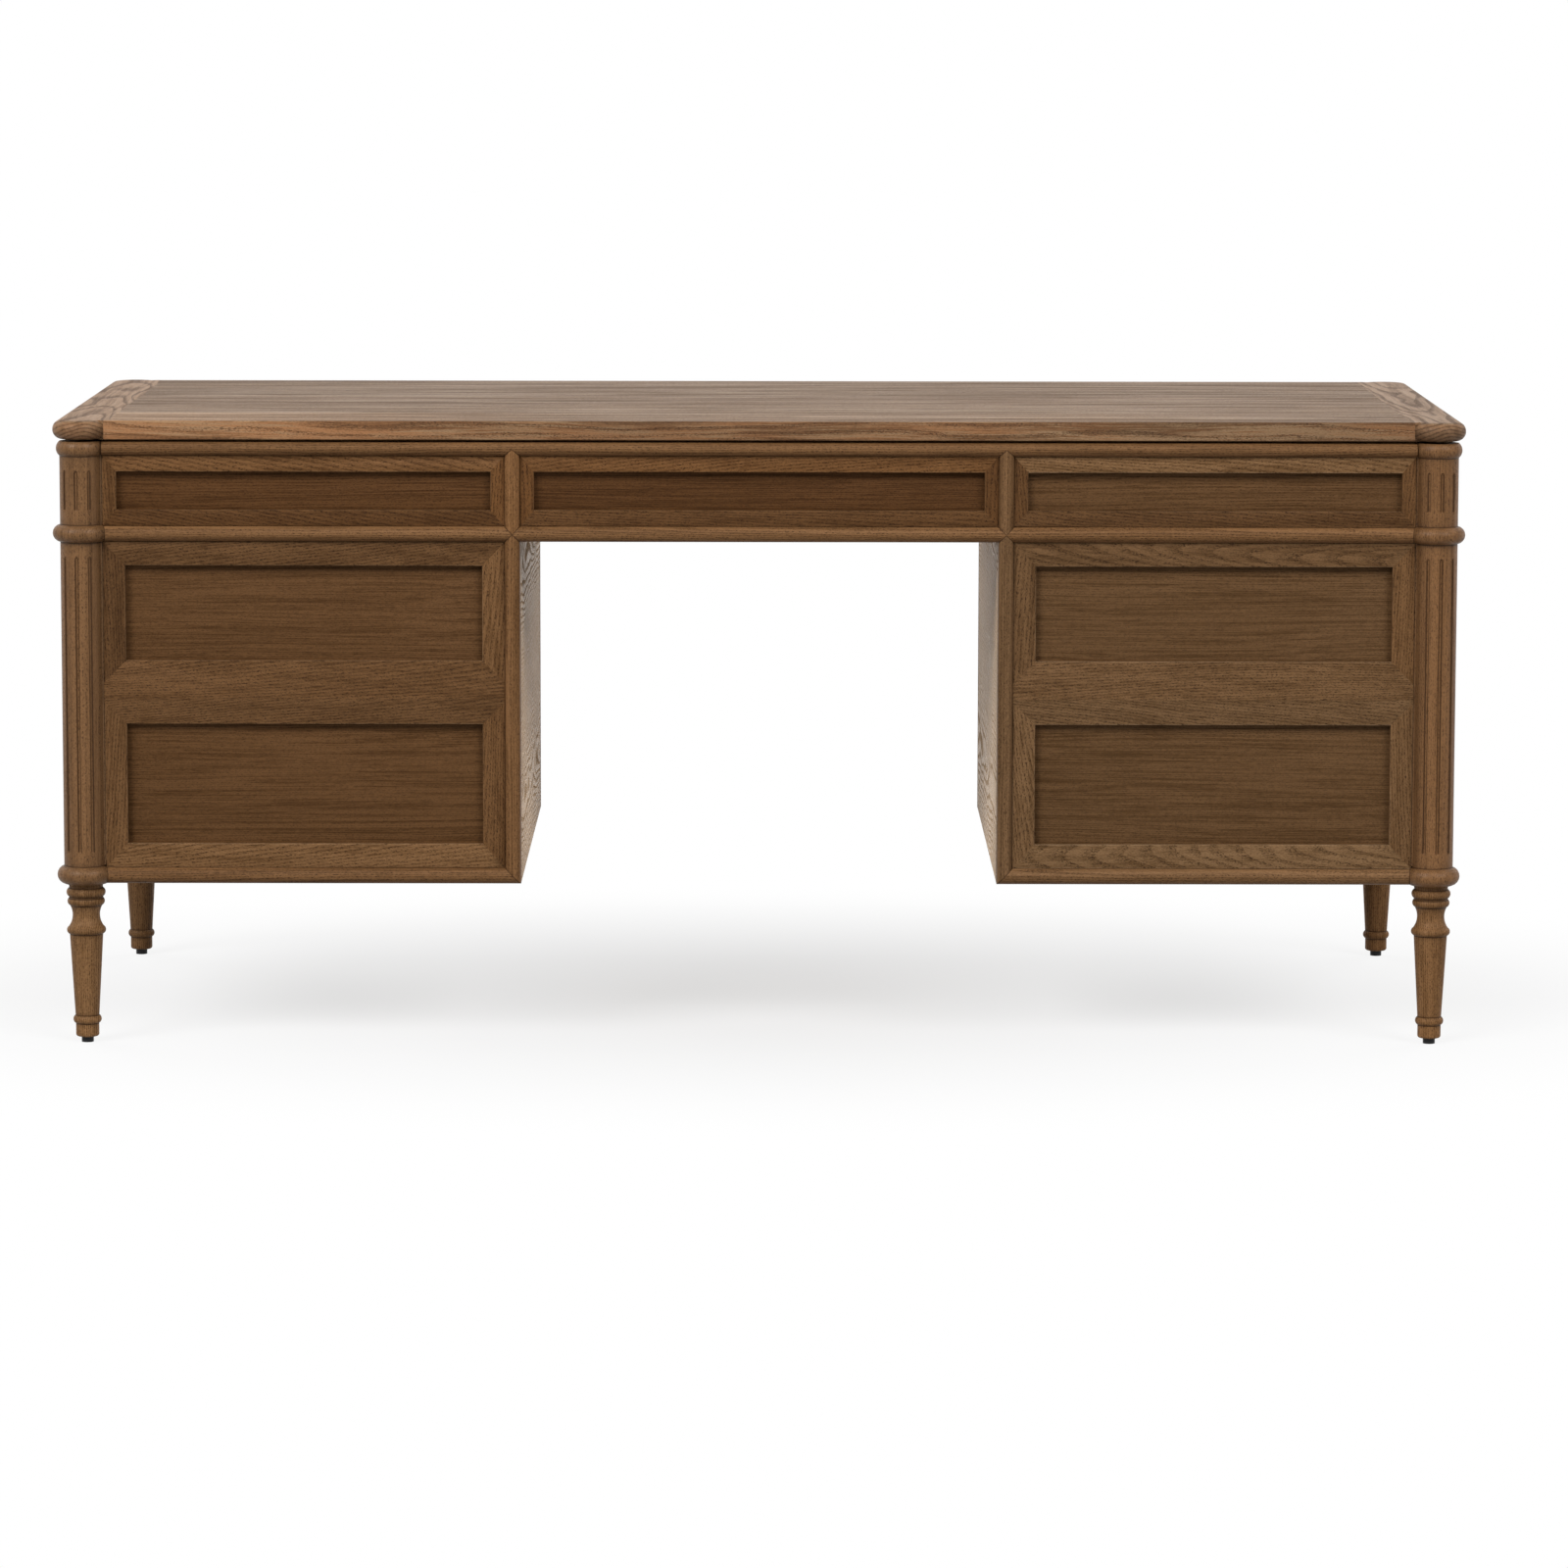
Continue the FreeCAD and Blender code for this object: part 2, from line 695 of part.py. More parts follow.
def face_beads(side_name, where, with_drawers):
    """Rails and posts with half-round noses on a long face, scribed into each other."""
    tools = scribe_tools(size.column_x)
    reach_up = (size.bead_up_h - size.tip_flat) / 2
    reach_mid = (size.bead_mid_h - size.tip_flat) / 2
    up_cuts, mid_cuts, rails, posts = [], [], [], []
    for side in (-1, 1):
        u = mirrored((size.knee_half, bay_start), side)
        into_up = junction(u, bead_up[0], bead_up[0] + reach_up)
        into_mid_top = junction(u, bead_mid[1], bead_mid[1] - reach_mid)
        into_mid_low = junction(u, bead_mid[0], bead_mid[0] + reach_mid)
        up_cuts.append(into_up)
        mid_cuts += [into_mid_top, into_mid_low]
        upper = fuse([into_up, into_mid_top, face_board(u, through, apron)])
        posts.append(common(upright_bead(u, (bead_mid[0], bead_up[1])), upper))
        tip = (bead_low[1] - size.tip_flat, bead_low[1])
        mitre = stile_member(u, *((bead_low, tip) if side > 0 else (tip, bead_low)), through)
        lower = fuse([into_mid_low, mitre, face_board(u, through, bay)])
        post = common(upright_bead(u, (bead_low[0], bead_mid[1])), lower)
        low_rail = level_bead(mirrored((size.knee_half, bay_end), side), bead_low)
        rails.append(scribed(cut(low_rail, [mitre]), tools, ring_low_z, (side,)))
        if with_drawers:
            rail, wedge = drawer_rail(side)
            rails.append(rail)
            post = cut(post, [wedge])
        posts.append(post)
    span = (-bay_end, bay_end)
    rails.append(scribed(cut(level_bead(span, bead_up), up_cuts), tools, ring_up_z))
    rails.append(scribed(cut(level_bead(span, bead_mid), mid_cuts), tools, ring_mid_z))
    group(f"{side_name}_bead_rails", rails, **where)
    group(f"{side_name}_bead_posts", posts, **where)


def drawer_rail(side):
    """The bead rail between the two drawers of a pedestal, pointed into the post beside the kneehole."""
    z = drawer_split
    middle = (z[0] + z[1]) / 2
    flat = (middle - size.tip_flat / 2, middle + size.tip_flat / 2)
    reach = (size.divider_thick - size.tip_flat) / 2
    tip_u = mirrored((bay_start - reach, bay_start), side)
    wedge = stile_member(tip_u, *((flat, z) if side > 0 else (z, flat)), through)
    whole = level_bead(mirrored((bay_start - reach, bay_end), side), z)
    kept = fuse([wedge, face_board(mirrored(side_bay, side), through, z)])
    return common(whole, kept), wedge


def end_rails(label, where):
    """The three bead rails of a short end."""
    tools = scribe_tools(size.column_y)
    rails = [
        scribed(level_bead(end_bay, z), tools, level)
        for z, level in ((bead_low, ring_low_z), (bead_mid, ring_mid_z), (bead_up, ring_up_z))
    ]
    group(label, rails, **where)


def panel(u, z):
    """A panel behind a frame, set in from the frame's sides to clear the rings of the columns."""
    return face_board((u[0] + size.panel_inset, u[1] - size.panel_inset), panel_depth, z)


def visitor_faces():
    """Frames and panels of the closed face on the visitor's side."""
    upper_bays = [mirrored(side_bay, -1), knee_bay, side_bay]
    frames = []
    for u in upper_bays:
        frames += mitred_frame(u, apron, frame_depth, size.stile_up, size.rail_up)
    group("visitor_frames_upper", frames, **VISITOR)
    for name, side in (("left", -1), ("right", 1)):
        lower = two_field_frame(mirrored(side_bay, side), bay, frame_depth)
        group(f"visitor_frame_lower_{name}", lower, **VISITOR)
    panels = [panel(u, apron) for u in upper_bays]
    panels += [panel(mirrored(side_bay, side), bay) for side in (-1, 1)]
    group("visitor_panels", panels, **VISITOR)


def end_faces():
    """Frames, panels and rails of the two short ends."""
    for name, where in (("left", LEFT_END), ("right", RIGHT_END)):
        frames = mitred_frame(end_bay, apron, frame_depth, size.stile_up, size.rail_up)
        group(f"end_frames_{name}", frames + two_field_frame(end_bay, bay, frame_depth), **where)
        panels = [panel(end_bay, z) for z in (apron, bay)]
        group(f"end_panels_{name}", panels, **where)
        end_rails(f"end_rails_{name}", where)


def pedestal_floor(side):
    """The floor of a pedestal, notched round the posts and low rings of its two columns."""
    z = (case_low, case_low + size.floor_thick)
    notches = []
    for end in (-1, 1):
        corner_x = mirrored((bay_end, inner_x + size.overrun), side)
        corner_y = mirrored((end_half, inner_y + size.overrun), end)
        notches.append(board(corner_x, corner_y, z))
        ring = doc.addObject("Part::Cylinder", "Notch")
        bind(ring, Radius=size.ring_low_r + size.scribe_gap, Height=size.floor_thick)
        notches.append(place(ring, side * size.column_x, end * size.column_y, case_low))
    return cut(board(mirrored((bay_start, inner_x), side), (-inner_y, inner_y), z), notches)


def inner_boards():
    """The panels beside the kneehole and the floors of the pedestals."""
    y = (-inner_y, inner_y)
    for name, side in (("left", -1), ("right", 1)):
        wall = board(mirrored((size.knee_half, bay_start), side), y, (case_low, case_top))
        named(wall, f"kneehole_panel_{name}")
    group("pedestal_floors", [pedestal_floor(side) for side in (-1, 1)])


def slide_levels(z):
    """Where a drawer box starts and where its slides run."""
    box_low = z[0] + size.drawer_gap + size.box_below
    middle = box_low + size.slide_lift
    return box_low, (middle - size.bar_h / 2, middle + size.bar_h / 2)


def slide_channel(wall, inward, bar_z):
    """A drawer slide's fixed channel: a web on the wall and two flanges round the bar."""
    low, high = bar_z[0] - size.run_gap, bar_z[1] + size.run_gap
    web_z = (low - size.flange_thick, high + size.flange_thick)
    web = mirrored((inward * wall, inward * wall + size.web_thick), inward)
    lip_start = inward * wall + size.web_thick
    lip = mirrored((lip_start, lip_start + size.flange_long), inward)
    return [
        face_board(web, slide_depth, web_z),
        face_board(lip, slide_depth, (web_z[0], low)),
        face_board(lip, slide_depth, (high, web_z[1])),
    ]


def drawer(name, u, z, stile, rail):
    """A drawer: mitred front over a panel, box, slide bars and two knobs."""
    front_u = (u[0] + size.drawer_gap, u[1] - size.drawer_gap)
    front_z = (z[0] + size.drawer_gap, z[1] - size.drawer_gap)
    frame = mitred_frame(front_u, front_z, frame_depth, stile - size.drawer_gap, rail - size.drawer_gap)
    group(f"{name}_front", frame + [face_board(front_u, panel_depth, front_z)], **SITTER)
    box_low, bar_z = slide_levels(z)
    box_z = (box_low, front_z[1] - size.box_above)
    out_u = (u[0] + size.slide_space, u[1] - size.slide_space)
    in_u = (out_u[0] + size.box_side, out_u[1] - size.box_side)
    back_d = (box_depth[0], box_depth[0] + size.box_back)
    bottom_z = (box_low + size.box_lift, box_low + size.box_lift + size.box_bottom)
    sides = [face_board(span, box_depth, box_z) for span in ((out_u[0], in_u[0]), (in_u[1], out_u[1]))]
    back = face_board(in_u, back_d, box_z)
    bottom = face_board(in_u, (back_d[1], box_depth[1]), bottom_z)
    group(f"{name}_box", sides + [back, bottom], **SITTER)
    bars = [(out_u[0] - size.bar_wide, out_u[0]), (out_u[1], out_u[1] + size.bar_wide)]
    group(f"{name}_slide_bars", [face_board(span, slide_depth, bar_z) for span in bars], **SITTER)
    middle = (u[0] + u[1]) / 2
    spread = KNOB_PLACE_SHARE * (u[1] - u[0])
    level = (front_z[0] + front_z[1]) / 2
    group(f"{name}_knobs", [knob(middle + side * spread, level) for side in (-1, 1)], **SITTER)
    return slide_channel(u[0], 1, bar_z) + slide_channel(u[1], -1, bar_z)


def knob(u, z):
    """A plain turned knob standing on a drawer's panel."""
    head_low = size.knob_long - size.knob_head_h
    body = turned([
        (size.knob_base_r, 0),
        (size.knob_base_r, size.knob_base_h),
        (size.knob_neck_r, size.knob_base_h),
        (size.knob_neck_r, head_low),
        (size.knob_head_r, size.knob_long - size.knob_head_h / 2, size.knob_round, 1),
        (size.knob_face_r, size.knob_long, size.knob_round, 1),
        (0, size.knob_long),
        (0, 0),
    ])
    return place(body, u, -panel_out, z, X_AXIS, QUARTER_TURN)


def packer_pair(z):
    """Boards behind the posts that bring the outer slides of one row of drawers level with the bay."""
    _, bar_z = slide_levels(z)
    span = (bar_z[0] - size.packer_margin, bar_z[1] + size.packer_margin)
    return [board(mirrored((bay_end, inner_x), side), end_bay, span) for side in (-1, 1)]


def drawers():
    """Three drawers across the top and two in each pedestal, with their slides and packers."""
    rows = {
        "drawer_top_{}": (apron, size.stile_up, size.rail_up),
        "drawer_{}_upper": ((drawer_split[1], bay[1]), size.stile_low, size.rail_low),
        "drawer_{}_lower": ((bay[0], drawer_split[0]), size.stile_low, size.rail_low),
    }
    # The sitter's face is turned half way round, so its left bay lies at positive u
    bays = {"left": side_bay, "right": mirrored(side_bay, -1)}
    channels, packers = [], []
    for title, (z, stile, rail) in rows.items():
        packers += packer_pair(z)
        for name, u in bays.items():
            channels += drawer(title.format(name), u, z, stile, rail)
    channels += drawer("drawer_top_centre", knee_bay, apron, size.stile_up, size.rail_up)
    group("slide_channels", channels, **SITTER)
    group("slide_packers", packers)


top_field()
top_end("top_end_left", -1)
top_end("top_end_right", 1)
top_spacers()
for corner_name in CORNERS:
    column(corner_name)
    leg(corner_name)
glides()
face_beads("visitor", VISITOR, False)
face_beads("sitter", SITTER, True)
visitor_faces()
end_faces()
inner_boards()
drawers()

doc.recompute()
broken = [thing.Label for thing in doc.Objects if {"Invalid", "Error"} & set(thing.State)]
broken += [node.Label for node in nodes if node.Shape.isNull() or not node.Shape.isValid()]
if broken:
    raise RuntimeError(f"sub-parts that did not build: {broken}")

os.makedirs("parts", exist_ok=True)
for node in nodes:
    node.Shape.exportStep(f"parts/{node.Label}.step")
print(len(nodes), "sub-parts")
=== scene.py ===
"""Looks of an oak pedestal desk: its joinery, turned work and drawers, and the studio it stands in.

Sizes are in metres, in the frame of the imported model: +Z up, +X along the width, the panelled
visitor's side towards -Y and the drawers towards +Y.
"""

import logging
import math
import random
import zlib
from dataclasses import dataclass
from enum import Enum
from typing import Any, Mapping, Optional, Sequence, Union

import bmesh
import bpy
import numpy as np
from mathutils import Matrix, Vector


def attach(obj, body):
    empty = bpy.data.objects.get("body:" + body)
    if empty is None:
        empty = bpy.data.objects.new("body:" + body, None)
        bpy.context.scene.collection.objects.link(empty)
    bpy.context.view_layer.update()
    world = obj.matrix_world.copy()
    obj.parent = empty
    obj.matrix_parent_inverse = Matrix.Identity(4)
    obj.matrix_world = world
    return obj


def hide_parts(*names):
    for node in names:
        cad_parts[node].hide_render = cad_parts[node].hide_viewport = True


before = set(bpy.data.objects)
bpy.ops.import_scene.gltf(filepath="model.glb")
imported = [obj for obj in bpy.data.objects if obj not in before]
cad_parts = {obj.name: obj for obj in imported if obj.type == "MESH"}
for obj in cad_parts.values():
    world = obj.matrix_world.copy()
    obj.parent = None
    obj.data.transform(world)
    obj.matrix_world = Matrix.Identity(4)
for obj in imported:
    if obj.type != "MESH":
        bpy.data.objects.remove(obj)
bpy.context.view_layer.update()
log = logging.getLogger("pedestal_desk")

Colour = tuple[float, float, float]
Point2 = tuple[float, float]
Point3 = tuple[float, float, float]
Shades = Sequence[Union[Point2, Sequence[Point2]]]
Shape = bmesh.types.BMesh
Piece = bpy.types.Object
Material = bpy.types.Material

MM = 0.001
# The mean of noise, and distances in metres below which there is no gap, or no length to divide by
MEAN, NO_GAP, NO_LENGTH = 0.5, 1e-7, 1e-9
WHITE = (1.0, 1.0, 1.0, 1.0)
ACROSS, BACK, UP = Vector((1, 0, 0)), Vector((0, 1, 0)), Vector((0, 0, 1))


class Value:
    """An output of a node that takes part in arithmetic."""

    def __init__(self, nodes: "Nodes", socket: bpy.types.NodeSocket) -> None:
        """Keep the socket and the tree that it belongs to."""
        self.nodes, self.socket = nodes, socket

    def out(self, name: Union[int, str]) -> "Value":
        """Another output of the same node."""
        return Value(self.nodes, self.socket.node.outputs[name])

    def math(self, operation: str, *others: "Number") -> "Value":
        """The result of a Math node on this value and others."""
        return self.nodes.math(operation, self, *others)

    def __add__(self, other: "Number") -> "Value":
        """This value plus another."""
        return self.math("ADD", other)

    def __sub__(self, other: "Number") -> "Value":
        """This value less another."""
        return self.math("SUBTRACT", other)

    def __rsub__(self, other: float) -> "Value":
        """A number less this value."""
        return self.nodes.math("SUBTRACT", other, self)

    def __mul__(self, other: "Number") -> "Value":
        """This value times another."""
        return self.math("MULTIPLY", other)

    def __truediv__(self, other: "Number") -> "Value":
        """This value over another."""
        return self.math("DIVIDE", other)

    __radd__ = __add__
    __rmul__ = __mul__


Number = Union[Value, float]


class Nodes:
    """Adds nodes, with their settings and links, to one tree."""

    # The Mix node's sockets for colours, by number, as its sockets for numbers have the same names
    MIX_FACTOR, MIX_FIRST, MIX_SECOND, MIX_RESULT = 0, 6, 7, 2

    def __init__(self, tree: bpy.types.NodeTree) -> None:
        """Keep the tree."""
        self.tree = tree

    def node(self, kind: str, settings: Optional[Mapping[str, Any]] = None,
             sockets: Optional[Mapping[Union[int, str], Any]] = None,
             out: Union[int, str] = 0) -> Value:
        """Add one node.

        Args:
            kind: The node's type.
            settings: Properties of the node, set before its sockets.
            sockets: Values or links of its inputs, by name or number.
            out: The output to return.

        Returns:
            The chosen output.
        """
        made = self.tree.nodes.new(kind)
        for name, setting in (settings or {}).items():
            setattr(made, name, setting)
        for key, given in (sockets or {}).items():
            if isinstance(given, Value):
                self.tree.links.new(given.socket, made.inputs[key])
            else:
                made.inputs[key].default_value = given
        return Value(self, made.outputs[out] if len(made.outputs) else None)

    def math(self, operation: str, *values: Number) -> Value:
        """The result of a Math node."""
        return self.node("ShaderNodeMath", {"operation": operation}, dict(enumerate(values)))

    def vector(self, operation: str, *values: Any, out: Union[int, str] = 0) -> Value:
        """The result of a Vector Math node on vectors."""
        settings = {"operation": operation}
        return self.node("ShaderNodeVectorMath", settings, dict(enumerate(values)), out)

    def scaled(self, vector: Value, factor: Number) -> Value:
        """A vector or colour times a number."""
        sockets = {0: vector, "Scale": factor}
        return self.node("ShaderNodeVectorMath", {"operation": "SCALE"}, sockets)

    def mix(self, factor: Number, first: Any, second: Any) -> Value:
        """A colour between two others."""
        sockets = {self.MIX_FACTOR: factor, self.MIX_FIRST: first, self.MIX_SECOND: second}
        return self.node("ShaderNodeMix", {"data_type": "RGBA", "clamp_factor": True}, sockets,
                         self.MIX_RESULT)

    def step(self, value: Value, low: float, high: float) -> Value:
        """A smooth step from 0 at low to 1 at high."""
        sockets = {"Value": value, "From Min": low, "From Max": high}
        return self.node("ShaderNodeMapRange", {"interpolation_type": "SMOOTHSTEP"}, sockets)

    def noise(self, vector: Value, stretch: Point2, detail: float) -> Value:
        """Noise with one size of feature along x and another across it.

        Args:
            vector: Where the noise is read.
            stretch: The number of features in a metre, along x and across it.
            detail: How many finer layers it has.

        Returns:
            The noise, from 0 to 1.
        """
        along, across = stretch
        place = self.vector("MULTIPLY", vector, (along, across, across))
        return self.node("ShaderNodeTexNoise", {"noise_dimensions": "3D"},
                         {"Vector": place, "Scale": 1.0, "Detail": detail})

    def attribute(self, name: str, out: str) -> Value:
        """An attribute that the mesh carries."""
        return self.node("ShaderNodeAttribute", {"attribute_name": name}, out=out)

    def bump(self, height: Value, distance: float, strength: float = 1.0) -> Value:
        """A normal that follows a height."""
        sockets = {"Strength": strength, "Distance": distance, "Height": height}
        return self.node("ShaderNodeBump", None, sockets)


def rgba(colour: Colour, share: float = 1.0) -> tuple[float, float, float, float]:
    """A share of a colour, with full opacity."""
    return (*(share * part for part in colour), 1.0)


def new_material(name: str) -> tuple[Material, Nodes]:
    """Start a node material.

    Args:
        name: Its name.

    Returns:
        The empty material, and the tool that fills it.
    """
    material = bpy.data.materials.new(name)
    material.use_nodes = True
    material.node_tree.nodes.clear()
    return material, Nodes(material.node_tree)


def close_material(nodes: Nodes, **sockets: Any) -> None:
    """End a material in a Principled shader.

    Args:
        nodes: The material's nodes.
        sockets: Values or links of the shader's sockets, named with _ for a space.
    """
    named = {key.replace("_", " "): given for key, given in sockets.items()}
    shader = nodes.node("ShaderNodeBsdfPrincipled", None, named)
    nodes.node("ShaderNodeOutputMaterial", None, {"Surface": shader})


class Finish:
    """Something that can give a Blender material, made once."""

    name: str

    def material(self) -> Material:
        """The material of this finish."""
        found = bpy.data.materials.get(self.name)
        return found if found else self.make()

    def make(self) -> Material:
        """Build the material."""
        raise NotImplementedError


@dataclass(frozen=True)
class Oak(Finish):
    """Stained and brushed oak, solid through the board, so that faces, edges and ends agree.

    The board's mesh carries "grain", its place in the log, with x along the log and y and z from
    the pith; "tone", a factor for each channel of its colour, which also holds painted light and
    shade; and "arris", 1 on edges that are rubbed and carry a painted highlight, and -1 where stain
    is left, which beside the mouldings and in the flutes is painted shade. A stretch is a number
    of features in a metre, along the log and across it.
    """

    name: str
    light: Colour
    dark: Colour
    pore: Colour
    # The rubbed colour: worn wood, which also carries a painted highlight
    rubbed_and_highlight: Colour
    ring: float = 2.6 * MM
    banding: float = 0.35
    pore_share: float = 0.8
    pore_stretch: Point2 = (360.0, 1350.0)
    flecks: float = 1.1
    streaks: float = 0.55
    streak_stretch: Point2 = (2.2, 130.0)
    wander: Point2 = (1.7, 22 * MM)
    early_wood: Point2 = (0.16, 0.72)
    # How much the rubbed colour, with its painted highlight, shows on edges
    wear_and_highlight: float = 0.45
    # How dark stained faces go; beside the mouldings and in the flutes this is painted shade
    stain_and_shade: float = 0.75
    roughness: float = 0.5
    specular: float = 0.16
    sheen: float = 0.0
    dulling: float = 0.06
    relief: float = 0.2 * MM

    # What all oak has in common: its stretches, and where smooth steps start and end
    WANDER_ACROSS, RIPPLE_STRETCH, RIPPLE_DEPTH = 11.0, (11.0, 75.0), 0.9 * MM
    FIBRE_STRETCH, FLECK_STRETCH, MOTTLE_STRETCH = (12.0, 700.0), (110.0, 620.0), (2.6, 16.0)
    SPRING, STREAK_STEP, PORE_STEP, WORN_STEP = (0.0, 0.06), (0.3, 0.7), (0.52, 0.61), (0.25, 0.6)
    # How many of the pores late wood has, the early wood's mean share, and how dark rubbed wood,
    # which carries a painted highlight, gets
    LATE_PORES, EARLY_MEAN, RUBBED_DARK = 0.4, 0.4, 0.55
    # How far each part of the grain deepens the colour, dulls it, and stands up or sinks
    FIBRE_DEPTH, STREAK_DEPTH, MOTTLE_DEPTH, EVEN_DEPTH = 2.6, 1.1, 0.6, 0.25
    PORE_DULLING, FIBRE_DULLING, STREAK_DULLING = 0.14, 0.16, 0.14
    FIBRE_RISE, PORE_SINK, EARLY_SINK = 0.35, 0.8, 0.25
    SHEEN_ROUGHNESS, SHEEN_TINT = 0.5, (1.0, 0.74, 0.5)

    def make(self) -> Material:
        """Build rings, pores, fibres, rubbed edges and the stain that is left in grooves.

        Rubbed edges also carry a painted highlight, and the stain painted shade beside the
        mouldings and in the flutes.

        Returns:
            The material.
        """
        material, nodes = new_material(self.name)
        grain = nodes.attribute("grain", "Vector")
        tone = nodes.attribute("tone", "Vector")
        edge = nodes.attribute("arris", "Fac")

        wander = nodes.noise(grain, (self.wander[0], self.WANDER_ACROSS), 2.0)
        drift = nodes.vector("SUBTRACT", wander.out("Color"), (MEAN, MEAN, MEAN))
        ripple = nodes.noise(grain, self.RIPPLE_STRETCH, 1.0)
        drift = nodes.vector("MULTIPLY", drift, (0, self.wander[1], self.wander[1]))
        moved = nodes.vector("ADD", grain, drift)
        flat = nodes.vector("MULTIPLY", moved, (0, 1, 1))
        radius = nodes.vector("LENGTH", flat, out="Value")
        years = (radius + ripple * self.RIPPLE_DEPTH) / self.ring
        season = years.math("FRACT")
        early = nodes.step(season, *self.SPRING) * (1 - nodes.step(season, *self.early_wood))

        fibre = nodes.noise(moved, self.FIBRE_STRETCH, 2.0)
        fleck = nodes.noise(moved, self.FLECK_STRETCH, 1.0)
        streak = nodes.noise(moved, self.streak_stretch, 3.0)
        streak = nodes.step(streak, *self.STREAK_STEP)
        vessel = nodes.noise(moved, self.pore_stretch, 1.0)
        pores = nodes.step(vessel, *self.PORE_STEP)
        pores = pores * (self.LATE_PORES + (1 - self.LATE_PORES) * early)
        mottle = nodes.noise(grain, self.MOTTLE_STRETCH, 2.0)

        depth = (early * self.banding + (fibre - MEAN) * (self.FIBRE_DEPTH * self.streaks)
                 + (streak - MEAN) * (self.STREAK_DEPTH * self.streaks)
                 + (fleck - MEAN) * self.flecks + (mottle - MEAN) * self.MOTTLE_DEPTH
                 + self.EVEN_DEPTH)
        colour = nodes.mix(depth, rgba(self.light), rgba(self.dark))
        # Edges lighter: wear, and a painted highlight
        wear_and_painted_light = edge * (self.wear_and_highlight * nodes.step(mottle + (fibre - MEAN), *self.WORN_STEP))
        rubbed_and_highlight = nodes.mix(depth, rgba(self.rubbed_and_highlight), rgba(self.rubbed_and_highlight, self.RUBBED_DARK))
        colour = nodes.mix(wear_and_painted_light, colour, rubbed_and_highlight)
        colour = nodes.mix(pores * self.pore_share, colour, rgba(self.pore))
        # Each board's tone, which also holds painted light and shade
        colour = nodes.vector("MULTIPLY", colour, tone)
        # Stained faces darker: stain, and beside the mouldings and in the flutes painted shade
        colour = nodes.mix(edge * -self.stain_and_shade, colour, rgba(self.pore))

        rough = (self.roughness + self.PORE_DULLING * pores + self.FIBRE_DULLING * (fibre - MEAN)
                 + (self.STREAK_DULLING * self.streaks) * (streak - MEAN)
                 + self.dulling * (early - self.EARLY_MEAN))
        height = self.FIBRE_RISE * fibre - self.PORE_SINK * pores - self.EARLY_SINK * early
        close_material(nodes, Base_Color=colour, Roughness=rough,
                       Normal=nodes.bump(height, self.relief), Specular_IOR_Level=self.specular,
                       Sheen_Weight=self.sheen, Sheen_Roughness=self.SHEEN_ROUGHNESS,
                       Sheen_Tint=rgba(self.SHEEN_TINT))
        return material


@dataclass(frozen=True)
class Steel(Finish):
    """Zinc plated steel, drawn along the slide."""

    name: str
    colour: Colour = (0.56, 0.57, 0.58)
    roughness: float = 0.34

    LINE_STRETCH, LINE_DULLING, LINE_RELIEF, LINE_STRENGTH = (6.0, 1900.0), 0.22, 0.2 * MM, 0.2
    CLOUD_STRETCH, CLOUD_STEP, CLOUD_DARK, CLOUD_DULLING = (30.0, 60.0), (0.35, 0.7), 0.82, 0.2

    def make(self) -> Material:
        """Build drawn lines and cloudy, duller plating.

        Returns:
            The material.
        """
        material, nodes = new_material(self.name)
        grain = nodes.attribute("grain", "Vector")
        lines = nodes.noise(grain, self.LINE_STRETCH, 2.0)
        cloud = nodes.noise(grain, self.CLOUD_STRETCH, 3.0)
        colour = nodes.mix(nodes.step(cloud, *self.CLOUD_STEP), rgba(self.colour),
                           rgba(self.colour, self.CLOUD_DARK))
        rough = (self.roughness + self.LINE_DULLING * (lines - MEAN)
                 + self.CLOUD_DULLING * (cloud - MEAN))
        close_material(nodes, Base_Color=colour, Metallic=1.0, Roughness=rough,
                       Normal=nodes.bump(lines, self.LINE_RELIEF, self.LINE_STRENGTH))
        return material


@dataclass(frozen=True)
class Plastic(Finish):
    """Black moulded plastic, scuffed here and there."""

    name: str
    colour: Colour = (0.008, 0.008, 0.0085)
    scuffed: Colour = (0.025, 0.024, 0.023)
    roughness: float = 0.45
    specular: float = 0.2

    GRAIN_STRETCH, GRAIN_RELIEF, GRAIN_STRENGTH = (1500.0, 1500.0), 0.2 * MM, 0.3
    SCUFF_STRETCH, SCUFF_STEP, SCUFF_SHARE, SCUFF_DULLING = (160.0, 160.0), (0.5, 0.75), 0.5, 0.25

    def make(self) -> Material:
        """Build fine moulded grain and dusty scuffs.

        Returns:
            The material.
        """
        material, nodes = new_material(self.name)
        grain = nodes.attribute("grain", "Vector")
        moulded = nodes.noise(grain, self.GRAIN_STRETCH, 1.0)
        scuff = nodes.step(nodes.noise(grain, self.SCUFF_STRETCH, 3.0), *self.SCUFF_STEP)
        colour = nodes.mix(scuff * self.SCUFF_SHARE, rgba(self.colour), rgba(self.scuffed))
        bump = nodes.bump(moulded, self.GRAIN_RELIEF, self.GRAIN_STRENGTH)
        close_material(nodes, Base_Color=colour, Normal=bump, Specular_IOR_Level=self.specular,
                       Roughness=self.roughness + self.SCUFF_DULLING * scuff)
        return material


